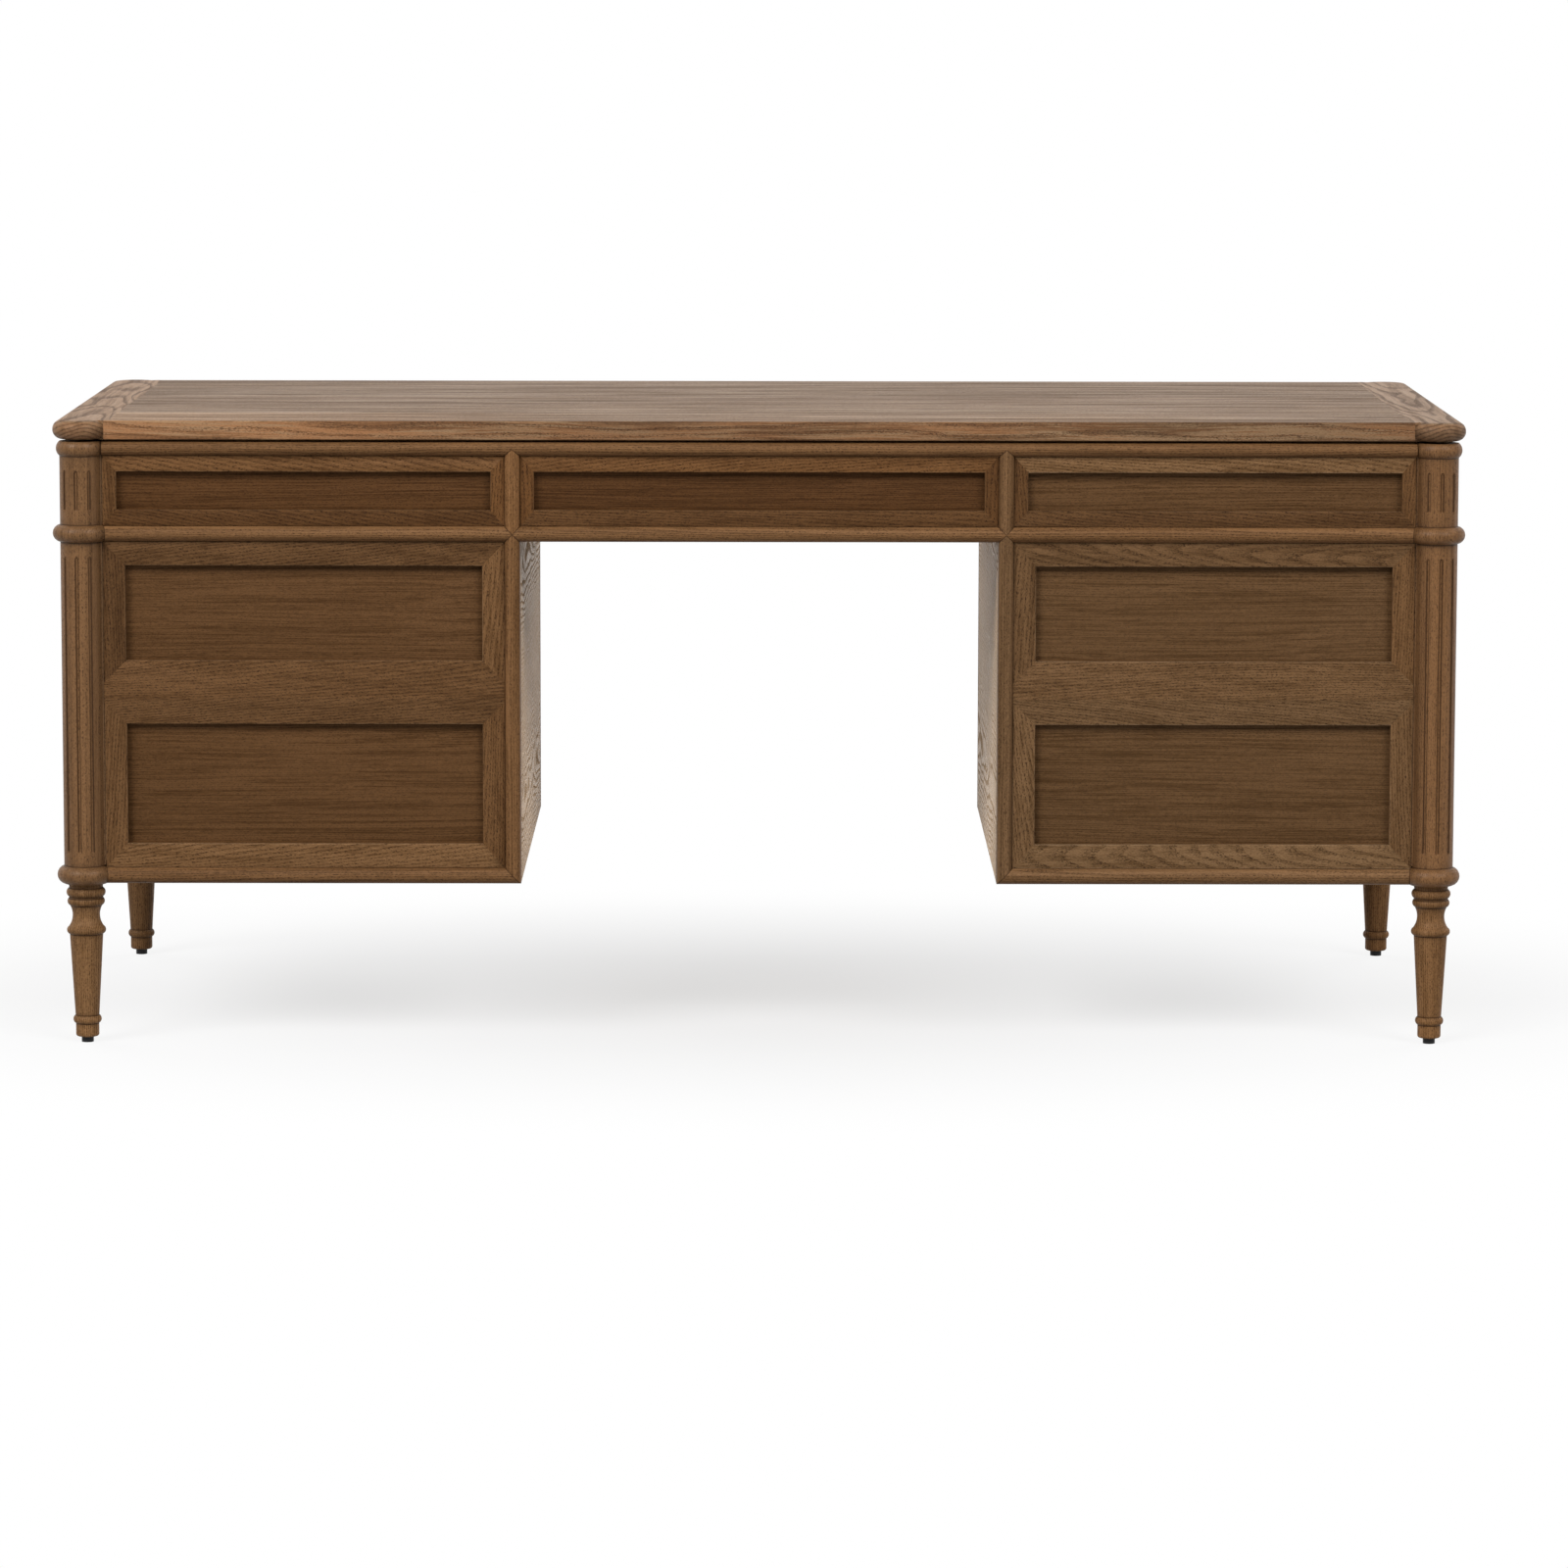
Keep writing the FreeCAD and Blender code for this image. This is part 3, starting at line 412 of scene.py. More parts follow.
OAK_FRAME = Oak("oak_frame_wood", light=(0.200, 0.099, 0.0390), dark=(0.102, 0.0462, 0.0150),
                pore=(0.034, 0.014, 0.004), rubbed_and_highlight=(0.30, 0.175, 0.088), pore_share=0.9,
                specular=0.1)
OAK_BEAD = Oak("oak_bead_wood", light=(0.207, 0.104, 0.0425), dark=(0.109, 0.0515, 0.0182),
               pore=(0.038, 0.016, 0.005), rubbed_and_highlight=(0.30, 0.175, 0.088), pore_share=0.9,
               specular=0.12)
OAK_TURNED = Oak("oak_turned_wood", light=(0.212, 0.104, 0.0410), dark=(0.113, 0.0522, 0.0180),
                 pore=(0.038, 0.016, 0.005), rubbed_and_highlight=(0.30, 0.175, 0.088), banding=0.1,
                 specular=0.18, roughness=0.4)
# Panel oak, darker than the frames: partly its own colour, partly painted shade in the recess
OAK_PANEL_PAINTED_SHADE = Oak("oak_panel_wood_painted_shade", light=(0.139, 0.0635, 0.0226), dark=(0.0755, 0.0318, 0.0090),
                pore=(0.034, 0.014, 0.004), rubbed_and_highlight=(0.2, 0.11, 0.05), ring=2.2 * MM, banding=0.2,
                streaks=0.8, streak_stretch=(2.0, 360.0), pore_share=0.6, specular=0.08)
OAK_TOP = Oak("oak_top_wood", light=(0.220, 0.132, 0.068), dark=(0.098, 0.0525, 0.0235),
              pore=(0.036, 0.016, 0.007), rubbed_and_highlight=(0.232, 0.098, 0.037), ring=4.2 * MM,
              banding=0.6, streaks=1.2, streak_stretch=(3.6, 62.0), wander=(2.6, 24 * MM),
              wear_and_highlight=0.75, roughness=0.48)
OAK_END = Oak("oak_end_board_wood", light=(0.255, 0.144, 0.070), dark=(0.100, 0.049, 0.020),
              pore=(0.036, 0.016, 0.007), rubbed_and_highlight=(0.330, 0.158, 0.070), ring=4.6 * MM,
              banding=0.75, streaks=0.6, wander=(3.2, 26 * MM), early_wood=(0.1, 0.55), wear_and_highlight=0.7,
              roughness=0.485)
# Kneehole oak: the same wood as the rest, painted lighter, standing in for the light and reflection
# that reach the kneehole from behind
OAK_KNEEHOLE_PAINTED_LIGHT = Oak("oak_kneehole_wood_painted_light", light=(0.400, 0.238, 0.108), dark=(0.170, 0.090, 0.036),
                   pore=(0.055, 0.026, 0.010), rubbed_and_highlight=(0.50, 0.34, 0.20), ring=5.2 * MM,
                   banding=0.6, streaks=0.5, wander=(4.5, 26 * MM), early_wood=(0.12, 0.5),
                   wear_and_highlight=0.9, roughness=0.47, specular=0.17, sheen=0.75, dulling=0.5,
                   relief=0.7 * MM)
OAK_KNOB = Oak("oak_knob_wood", light=(0.19, 0.098, 0.042), dark=(0.105, 0.05, 0.019),
               pore=(0.045, 0.02, 0.008), rubbed_and_highlight=(0.27, 0.155, 0.078), roughness=0.36,
               specular=0.3)
DRAWER_WOOD = Oak("pale_drawer_wood", light=(0.46, 0.315, 0.18), dark=(0.34, 0.215, 0.11),
                  pore=(0.21, 0.125, 0.06), rubbed_and_highlight=(0.52, 0.37, 0.22), ring=3.2 * MM,
                  banding=0.5, pore_share=0.5)
INNER_WOOD = Oak("inner_case_wood", light=(0.3, 0.19, 0.1), dark=(0.2, 0.118, 0.055),
                 pore=(0.11, 0.06, 0.026), rubbed_and_highlight=(0.34, 0.22, 0.12), ring=3.8 * MM,
                 pore_share=0.5, roughness=0.55)
SLIDE_STEEL = Steel("slide_zinc_steel")
GLIDE_PLASTIC = Plastic("glide_black_plastic")


class Cut(Enum):
    """How a board was sawn from its log."""

    PLAIN = "plain"
    RIFT = "rift"


class Run(Enum):
    """The way that a board's grain runs: along its longest side, or along an axis."""

    LONGEST = -1
    WIDTH = 0
    DEPTH = 1
    UPRIGHT = 2


class Edge(Enum):
    """What happens to an edge that is taken back, by the number that marks its faces.

    Rubbed edges also carry a painted highlight; stained ones beside the mouldings and in the
    flutes carry painted shade.
    """

    RUBBED = 1
    STAINED_AND_SHADED = 2


class Bend(Enum):
    """Which way an arc of a turned profile bends."""

    BEAD = 1
    COVE = -1


class Log:
    """The log that one board was sawn from, which gives each point of the board its place in it."""

    # Ranges in metres: how far the pith is behind a board, and beyond the edge of a rift board;
    # and as a share of half the width, how far it is aside of the middle of a plain board
    PLAIN_BEHIND, RIFT_BEHIND, RIFT_BEYOND = (0.035, 0.07), (0.05, 0.08), (0.02, 0.05)
    PLAIN_ASIDE = (-0.5, 0.5)
    # Shares of the lean, through a board and over its width, and the length that boards start in
    LEANS, LENGTH = ((0.6, 1.0), (-0.5, 0.5)), 6.0
    # Ranges of a board's shade, how much red a grey board loses, and the fade of an even board
    LIGHT, GREY, RED_LOSS = (0.7, 1.1), (-0.1, 0.1), 0.7
    EVEN = ((0.0, 1.0), (1.0, 1.0))

    def __init__(self, seed: str, low: Vector, high: Vector, run: Run, cut: Cut, lean: float,
                 shade: Optional[Point2] = None, fade: Sequence[Point2] = ()) -> None:
        """Lay the board in its log.

        Args:
            seed: A name that settles where in the log the board lies.
            low: The board's lowest corner.
            high: The board's highest corner.
            run: The way that its grain runs.
            cut: How it was sawn.
            lean: How far the pith may lean from the board, as a slope.
            shade: How light the board is, as a factor, and how grey, if not left to chance.
            fade: Shares of the board's length, each with a factor by which it is lighter there.
        """
        dice = random.Random(zlib.crc32(seed.encode()))
        spans = [high[i] - low[i] for i in range(3)]
        self.along = spans.index(max(spans)) if run is Run.LONGEST else run.value
        across = (i for i in range(3) if i != self.along)
        self.thin, self.wide = sorted(across, key=spans.__getitem__)
        self.middle = (low + high) / 2
        side = dice.choice((-1, 1))
        half = spans[self.wide] / 2
        if cut is Cut.PLAIN:
            self.offsets = (side * dice.uniform(*self.PLAIN_BEHIND),
                            dice.uniform(*self.PLAIN_ASIDE) * half)
        else:
            self.offsets = (side * dice.uniform(*self.RIFT_BEHIND),
                            dice.choice((-1, 1)) * (half + dice.uniform(*self.RIFT_BEYOND)))
        self.slopes = (lean * dice.choice((-1, 1)) * dice.uniform(*self.LEANS[0]),
                       lean * dice.uniform(*self.LEANS[1]))
        self.start = dice.uniform(0.0, self.LENGTH)
        light, grey = shade or (dice.uniform(*self.LIGHT), dice.uniform(*self.GREY))
        self.tone = (light * (1 - self.RED_LOSS * grey), light, light * (1 + grey))
        self.ends = low[self.along], high[self.along]
        self.fade = fade or self.EVEN

    def tones(self, points: np.ndarray) -> np.ndarray:
        """The colour factors of points of the board, one row for each."""
        shares = (points[:, self.along] - self.ends[0]) / (self.ends[1] - self.ends[0])
        return np.outer(np.interp(shares, *zip(*self.fade)), self.tone)

    def place(self, points: np.ndarray) -> np.ndarray:
        """The places of points in the log.

        Args:
            points: Points of the board, one to a row.

        Returns:
            A row for each point: along the log, and twice across it from the pith.
        """
        local = points - np.array(self.middle)
        along = local[:, self.along]
        return np.stack([
            along + self.start,
            local[:, self.thin] + self.slopes[0] * along + self.offsets[0],
            local[:, self.wide] + self.slopes[1] * along + self.offsets[1],
        ], axis=1)


class Blank:
    """Gathers boards and turnings into the mesh of one piece."""

    # The arris of plain faces, rubbed faces with a painted highlight and stained faces, in places
    # with painted shade, and the turn from which an edge is drawn sharp
    ARRIS = (0.0, 1.0, -1.0)
    SHARP_TURN = math.radians(35)

    def __init__(self) -> None:
        """Start with nothing."""
        self.points: list[np.ndarray] = []
        self.grain: list[np.ndarray] = []
        self.tone: list[np.ndarray] = []
        self.faces: list[list[int]] = []
        self.smooth: list[bool] = []
        self.arris: list[float] = []
        self.finish: list[int] = []
        self.count = 0

    def add(self, shape: Shape, timber: Log, finish: int = 0,
            glaze_and_painted_light: Optional[np.ndarray] = None) -> None:
        """Take in a shape and free it.

        Args:
            shape: Its mesh, with the number of an Edge as the material of faces that have one.
            timber: The log that it was made from.
            finish: The number of the piece's finish that it takes.
            glaze_and_painted_light: A factor for each vertex, below 1 where dark glaze is left in
            hollows and where shade is painted, and above 1 where light is painted on.
        """
        shape.verts.index_update()
        points = np.array([vert.co for vert in shape.verts], dtype=float).reshape(-1, 3)
        self.points.append(points)
        self.grain.append(timber.place(points))
        tones = timber.tones(points)
        self.tone.append(tones if glaze_and_painted_light is None else tones * glaze_and_painted_light[:, None])
        for face in shape.faces:
            self.faces.append([vert.index + self.count for vert in face.verts])
            self.smooth.append(face.smooth)
            self.arris.append(self.ARRIS[face.material_index])
            self.finish.append(finish)
        self.count += len(points)
        shape.free()

    def piece(self, name: str, finishes: Sequence[Finish], body: str, slot: str,
              stands_for: Optional[str] = None) -> Piece:
        """Make the piece and fix it to its body.

        Args:
            name: The piece's name.
            finishes: Its finishes, in the order of their numbers.
            body: The body that it rides on.
            slot: The record's material slot, not used.
            stands_for: The CAD node that it replaces.

        Returns:
            The piece.
        """
        mesh = bpy.data.meshes.new(name)
        mesh.from_pydata(np.concatenate(self.points).tolist(), [], self.faces)
        mesh.polygons.foreach_set("use_smooth", self.smooth)
        mesh.polygons.foreach_set("material_index", self.finish)
        for finish in finishes:
            mesh.materials.append(finish.material())
        for title, rows in (("grain", self.grain), ("tone", self.tone)):
            layer = mesh.attributes.new(title, "FLOAT_VECTOR", "POINT")
            layer.data.foreach_set("vector", np.concatenate(rows).astype(np.float32).ravel())
        layer = mesh.attributes.new("arris", "FLOAT", "FACE")
        layer.data.foreach_set("value", self.arris)
        mesh.update()
        mesh.set_sharp_from_angle(angle=self.SHARP_TURN)
        made = bpy.data.objects.new(name, mesh)
        bpy.context.scene.collection.objects.link(made)
        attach(made, body)
        if stands_for:
            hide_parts(stands_for)
        log.info("%s: %d faces on %s", name, len(mesh.polygons), body)
        return made


def corners(shape: Shape) -> tuple[Vector, Vector]:
    """The lowest and highest corner of a shape."""
    points = [vert.co for vert in shape.verts]
    return tuple(Vector([end(point[i] for point in points) for i in range(3)])
                 for end in (min, max))


# How finely corners of the CAD triangles are told apart, and the turn up to which faces are one
CORNER_DIGITS, FLAT_TURN = 6, math.radians(0.4)


def solids(node: str) -> list[Shape]:
    """Split a CAD node's loose triangles into its closed solids.

    Args:
        node: The CAD node's name.

    Returns:
        One mesh for each solid, in the order of the node.
    """
    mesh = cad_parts[node].data
    keys = [tuple(round(part, CORNER_DIGITS) for part in vert.co) for vert in mesh.vertices]
    found: list[list[list[Point3]]] = [[]]
    loose: set[frozenset] = set()
    for polygon in mesh.polygons:
        ring = [keys[i] for i in polygon.vertices]
        found[-1].append(ring)
        for edge in zip(ring, ring[1:] + ring[:1]):
            if edge[0] != edge[1]:
                loose ^= {frozenset(edge)}
        if not loose:
            found.append([])
    return [joined(rings) for rings in filter(None, found)]


def joined(rings: Sequence[Sequence[Point3]]) -> Shape:
    """Join loose triangles into one solid, with its flat faces whole.

    Args:
        rings: The corners of each triangle.

    Returns:
        The solid's mesh.
    """
    shape = bmesh.new()
    verts: dict[Point3, bmesh.types.BMVert] = {}
    for ring in rings:
        if len(set(ring)) < len(ring):
            continue
        for key in ring:
            if key not in verts:
                verts[key] = shape.verts.new(key)
        face = [verts[key] for key in ring]
        if not shape.faces.get(face):
            shape.faces.new(face)
    bmesh.ops.dissolve_limit(shape, angle_limit=FLAT_TURN, verts=shape.verts[:],
                             edges=shape.edges[:])
    shape.normal_update()
    return shape


def boxes(node: str) -> list[tuple[Vector, Vector]]:
    """The lowest and highest corners of the solids of a CAD node.

    Args:
        node: The CAD node's name.

    Returns:
        A pair of corners for each solid.
    """
    found = []
    for shape in solids(node):
        found.append(corners(shape))
        shape.free()
    return found


# Edges that are eased: the shortest, how sharply they turn, and how nearly they run with the grain
SHORTEST_EDGE, EASED_TURNS, WITH_GRAIN = 6 * MM, (math.radians(40), math.radians(140)), 0.97
# A fixed frame's boards: how much more they are eased, how near to its ends an edge runs that is an
# outer one, and which of its stained faces look out at the front. Outer edges take painted shade
# where they meet the mouldings, and a painted highlight where they look out
FRAMED_EASE, END_SLACK, FACES_OUT, ACROSS_GRAIN = 1.3, 1 * MM, 0.7, 0.1
# The turns between the faces of a moulding, which is drawn smooth
MOULDED_TURNS = math.radians(0.5), math.radians(20)
# How far the face of a mitred end looks along the grain, at least, and the side of a level board
# looks up, at most
END_FACE, SIDE_FACE = 0.3, 0.85
# How far apart two middles of one face may be
SAME_FACE = 1e-6


def ease_edges(shape: Shape, along: int, ease: float, hairline: float, framed: bool = False,
               joint: Edge = Edge.STAINED_AND_SHADED) -> None:
    """Take the sharpness off a board's edges, and mark what is taken off.

    Args:
        shape: The board.
        along: The axis that its grain runs along.
        ease: How far the edges along the grain are taken back.
        hairline: How far the edges across the grain, at joints, are taken back.
        framed: Whether the board is part of a fixed frame, whose outer edges meet the mouldings.
        They take painted shade there, and a painted highlight where they look out.
        joint: What happens to the edges across the grain.
    """
    low, high = corners(shape)
    kinds: dict[tuple[Edge, float], list[bmesh.types.BMEdge]] = {}
    for edge in shape.edges:
        run = edge.verts[1].co - edge.verts[0].co
        turn = edge.calc_face_angle(0.0) if len(edge.link_faces) == 2 else 0.0
        if run.length < SHORTEST_EDGE or not EASED_TURNS[0] < turn < EASED_TURNS[1]:
            continue
        kind, amount = joint, hairline
        if abs(run[along]) / run.length > WITH_GRAIN:
            # An outer edge of a frame: painted shade where it meets the mouldings
            outer = framed and run.length > high[along] - low[along] - END_SLACK
            kind = Edge.STAINED_AND_SHADED if outer else Edge.RUBBED
            amount = FRAMED_EASE * ease if framed else ease
        if amount:
            kinds.setdefault((kind, amount), []).append(edge)
    for kind, amount in sorted(kinds, key=lambda pair: -pair[1]):
        chosen = [edge for edge in kinds[kind, amount]
                  if edge.is_valid and edge.calc_length() > SHORTEST_EDGE]
        bmesh.ops.bevel(shape, geom=chosen, offset=amount, offset_type="OFFSET", segments=2,
                        profile=0.5, affect="EDGES", clamp_overlap=True, material=kind.value)
    shape.normal_update()
    thin = min(range(3), key=lambda i: high[i] - low[i])
    for face in shape.faces:
        looks_out = abs(face.normal[thin]) > FACES_OUT and abs(face.normal[along]) < ACROSS_GRAIN
        # Faces of a frame's outer edge that look out: rubbed, with a painted highlight
        if framed and looks_out and face.material_index == Edge.STAINED_AND_SHADED.value:
            face.material_index = Edge.RUBBED.value
        turns = [edge.calc_face_angle(0.0) for edge in face.edges if len(edge.link_faces) == 2]
        moulded = any(MOULDED_TURNS[0] < turn < MOULDED_TURNS[1] for turn in turns)
        face.smooth = moulded and face.material_index == 0


def line_joints(shape: Shape, along: int, width: float) -> None:
    """Leave a line of stain beside the ends of a moulded board, where it is mitred to the next.

    Args:
        shape: The board.
        along: The axis that its grain runs along.
        width: How wide the line is.
    """
    shape.normal_update()
    ends = [(face.calc_center_median(), face.normal.copy()) for face in shape.faces
            if abs(face.normal[along]) > END_FACE]
    for centre, normal in ends:
        face = next((face for face in shape.faces
                     if (face.calc_center_median() - centre).length < SAME_FACE), None)
        if face is None:
            continue
        beside = {other for edge in face.edges for other in edge.link_faces} - {face}
        geom = [*beside, *{edge for other in beside for edge in other.edges},
                *{vert for other in beside for vert in other.verts}]
        bmesh.ops.bisect_plane(shape, geom=geom, dist=NO_GAP, plane_co=centre - width * normal,
                               plane_no=normal)
        for edge in face.edges:
            for other in edge.link_faces:
                if other is not face and abs(other.normal[along]) < END_FACE:
                    other.material_index = Edge.STAINED_AND_SHADED.value
    shape.normal_update()


def saw(shape: Shape, axis: int, level: float, **clear: bool) -> None:
    """Cut all faces of a shape at a level of an axis.

    Args:
        shape: The shape.
        axis: The axis that the cut stands across.
        level: Where the cut is.
        clear: Which side is taken away, in the words of bisect_plane.
    """
    normal = Vector([float(i == axis) for i in range(3)])
    bmesh.ops.bisect_plane(shape, geom=shape.verts[:] + shape.edges[:] + shape.faces[:],
                           plane_co=normal * level, plane_no=normal, **clear)


def sliced(shape: Shape, axis: int, shares: Sequence[float]) -> list[Shape]:
    """Saw a shape into strips across one axis, and free it.

    Args:
        shape: The shape.
        axis: The axis that the cuts stand across.
        shares: Where the cuts are, as shares of the shape's span.

    Returns:
        The strips, open where they meet.
    """
    low, high = (corner[axis] for corner in corners(shape))
    levels = [low + share * (high - low) for share in shares]
    strips = []
    for bottom, top in zip([None, *levels], [*levels, None]):
        strip = shape.copy()
        if bottom is not None:
            saw(strip, axis, bottom, clear_inner=True)
        if top is not None:
            saw(strip, axis, top, clear_outer=True)
        strips.append(strip)
    shape.free()
    return strips


def mark_along(shape: Shape, along: int, shares: Sequence[float]) -> None:
    """Put edges across a board, so that its colour can change between them.

    Args:
        shape: The board.
        along: The axis that its grain runs along.
        shares: Where the edges are, as shares of the board's length.
    """
    low, high = (corner[along] for corner in corners(shape))
    for share in shares:
        saw(shape, along, low + share * (high - low))


def rub_and_highlight_sides(shape: Shape) -> None:
    """Mark the edge of a level board as rubbed, with a painted highlight, all round.

    Args:
        shape: The board.
    """
    shape.normal_update()
    for face in shape.faces:
        if abs(face.normal.z) < SIDE_FACE:
            face.material_index = Edge.RUBBED.value


@dataclass
class Joinery:
    """The boards of one CAD node, each from its own log, with eased and rubbed edges.

    Rubbed edges also carry a painted highlight.

    A board wider than planks_above is sawn into planks at shares of its width, and where there is a
    panel_finish, one wider than panel_above is a panel. Boards that are figured are plain sawn.
    Shades, where they aren't left to chance, are given board by board, or plank by plank; on the
    visitor's side they also hold painted light and shade. The fade is that of the first plank.
    """

    node: str
    finish: Finish
    slot: str
    body: str = "case"
    run: Run = Run.LONGEST
    cut: Cut = Cut.PLAIN
    lean: float = 0.02
    ease: float = 0.9 * MM
    hairline: float = 0.0
    framed: bool = False
    planks: Sequence[float] = ()
    planks_above: float = 0.0
    panel_finish: Optional[Finish] = None
    panel_above: float = 40 * MM
    shades: Shades = ()
    joint_line: float = 0.0
    joint: Edge = Edge.STAINED_AND_SHADED
    rubbed_and_highlit_round: bool = False
    fade: Sequence[Point2] = ()
    figured: Sequence[int] = ()

    def dress(self) -> Piece:
        """Ease, grain and finish every board.

        Returns:
            The piece, which stands for the node.
        """
        blank = Blank()
        for number, shape in enumerate(solids(self.node)):
            low, high = corners(shape)
            is_panel = self.panel_finish is not None and sorted(high - low)[1] > self.panel_above
            run = Run.WIDTH if is_panel else self.run
            cut = Cut.RIFT if is_panel else Cut.PLAIN if number in self.figured else self.cut
            shades = self.shades[number] if self.shades else None
            whole = shades if shades and isinstance(shades[0], float) else None
            timber = Log(f"{self.node} {number}", low, high, run, cut, self.lean, whole)
            if self.joint_line:
                line_joints(shape, timber.along, self.joint_line)
            ease_edges(shape, timber.along, self.ease, self.hairline, self.framed, self.joint)
            if self.rubbed_and_highlit_round:
                rub_and_highlight_sides(shape)
            is_wide = high[timber.wide] - low[timber.wide] > self.planks_above
            strips = [shape]
            if self.planks and is_wide:
                strips = sliced(shape, timber.wide, self.planks)
            for place, strip in enumerate(strips):
                if len(strips) > 1:
                    shade = whole or (shades[place] if shades else None)
                    fade = () if place else self.fade
                    timber = Log(f"{self.node} {number} {place}", *corners(strip), run, cut,
                                 self.lean, shade, fade)
                    mark_along(strip, timber.along, [share for share, _ in fade[1:-1]])
                blank.add(strip, timber, 1 if is_panel else 0)
        finishes = [self.finish] + ([self.panel_finish] if self.panel_finish else [])
        return blank.piece(f"{self.node}_dressed", finishes, self.body, self.slot, self.node)


def arc(start: Point2, end: Point2, radius: float, bend: Bend, steps: int = 8) -> list[Point2]:
    """Points of an arc on a turned profile that is read upwards, after its start.

    Args:
        start: Radius and level where it starts.
        end: Radius and level where it ends.
        radius: The arc's own radius.
        bend: Which way it bends.
        steps: How many points.

    Returns:
        The points, the last at the end.
    """
    (r0, z0), (r1, z1) = start, end
    chord = math.hypot(r1 - r0, z1 - z0)
    out = ((z1 - z0) / chord, -(r1 - r0) / chord)
    back = bend.value * math.sqrt(max(radius ** 2 - chord ** 2 / 4, 0.0))
    centre = ((r0 + r1) / 2 - out[0] * back, (z0 + z1) / 2 - out[1] * back)
    first = math.atan2(z0 - centre[1], r0 - centre[0])
    sweep = math.remainder(math.atan2(z1 - centre[1], r1 - centre[0]) - first, 2 * math.pi)
    angles = [first + sweep * i / steps for i in range(1, steps + 1)]
    return [(centre[0] + radius * math.cos(angle), centre[1] + radius * math.sin(angle))
            for angle in angles]


def arc_radius(chord: float, rise: float) -> float:
    """The radius of an arc that rises above its chord."""
    return (chord ** 2 / 4 + rise ** 2) / (2 * rise)


def profile(*steps: Sequence[Any]) -> list[Point2]:
    """Lay out a turned profile.

    Args:
        steps: Corners (radius, level) and arcs (radius, level, arc radius, bend), in millimetres.

    Returns:
        Radius and level of its points, in metres.
    """
    points = [(steps[0][0], steps[0][1])]
    for radius, level, *bent in steps[1:]:
        end = (radius, level)
        points += arc(points[-1], end, *bent) if bent else [end]
    return [(radius * MM, level * MM) for radius, level in points]


# The turn from which a profile is hollow, and how many widths away more points are put
HOLLOW_TURN, HOLLOW_STEPS = math.radians(25), (1, 3, 8, 16)


def hollows(points: Sequence[Point2], width: float) -> tuple[list[Point2], list[Point2]]:
    """Find where a turned profile, read upwards, turns in sharply, and put more points beside that.

    Args:
        points: The profile's radius and level.
        width: How near the nearest of the new points are.

    Returns:
        The profile with more points, and the hollows.
    """
    clean = [here for here, after in zip(points, points[1:]) if math.dist(here, after) > NO_GAP]
    clean.append(points[-1])
    found, path = [], [clean[0]]
    for before, here, after in zip(clean, clean[1:], clean[2:]):
        came, goes = (math.atan2(b[1] - a[1], b[0] - a[0])
                      for a, b in ((before, here), (here, after)))
        band = [here]
        if math.remainder(goes - came, 2 * math.pi) < -HOLLOW_TURN:
            found.append(here)
            for other in (before, after):
                reach = math.dist(here, other)
                steps = [width * step for step in HOLLOW_STEPS if 2 * width * step < reach]
                more = [tuple(Vector(here).lerp(Vector(other), step / reach)) for step in steps]
                band = [*reversed(more), *band] if other is before else [*band, *more]
        path += band
    return path + [clean[-1]], found


def stain_hollows(shape: Shape, centre: Vector, found: Sequence[Point2], width: float) -> None:
    """Mark the faces of an upright turning that lie in its hollows.

    Args:
        shape: The turning.
        centre: A point of its axis at the floor.
        found: The hollows' radius and level.
        width: How far from a hollow stain is left.
    """
    for face in shape.faces:
        spot = face.calc_center_median() - centre
        here = (math.hypot(spot.x, spot.y), spot.z)
        if any(math.dist(here, place) < width for place in found):
            face.material_index = Edge.STAINED_AND_SHADED.value


def glaze_and_shade_near(points: np.ndarray, places: np.ndarray, depth: float, reach: float) -> np.ndarray:
    """How glaze and painted shade darken points that are near some places.

    Args:
        points: The points, one to a row.
        places: The places.
        depth: How much is lost at a place.
        reach: How far away the loss falls to about a third.

    Returns:
        A factor for each point.
    """
    near = np.linalg.norm(points[:, None, :] - places[None, :, :], axis=2).min(axis=1)
    return 1 - depth * np.exp(-near / reach)


@dataclass(frozen=True)
class Flutes:
    """Grooves down a turned shaft, round ended, spread about the way that it faces."""

    each_side: int = 2
    step: float = math.radians(36)
    half: float = 2.1 * MM
    depth: float = 2.0 * MM
    lower: Point2 = (0.0, 0.0)
    upper: Point2 = (0.0, 0.0)


NO_FLUTES = Flutes(depth=0.0)


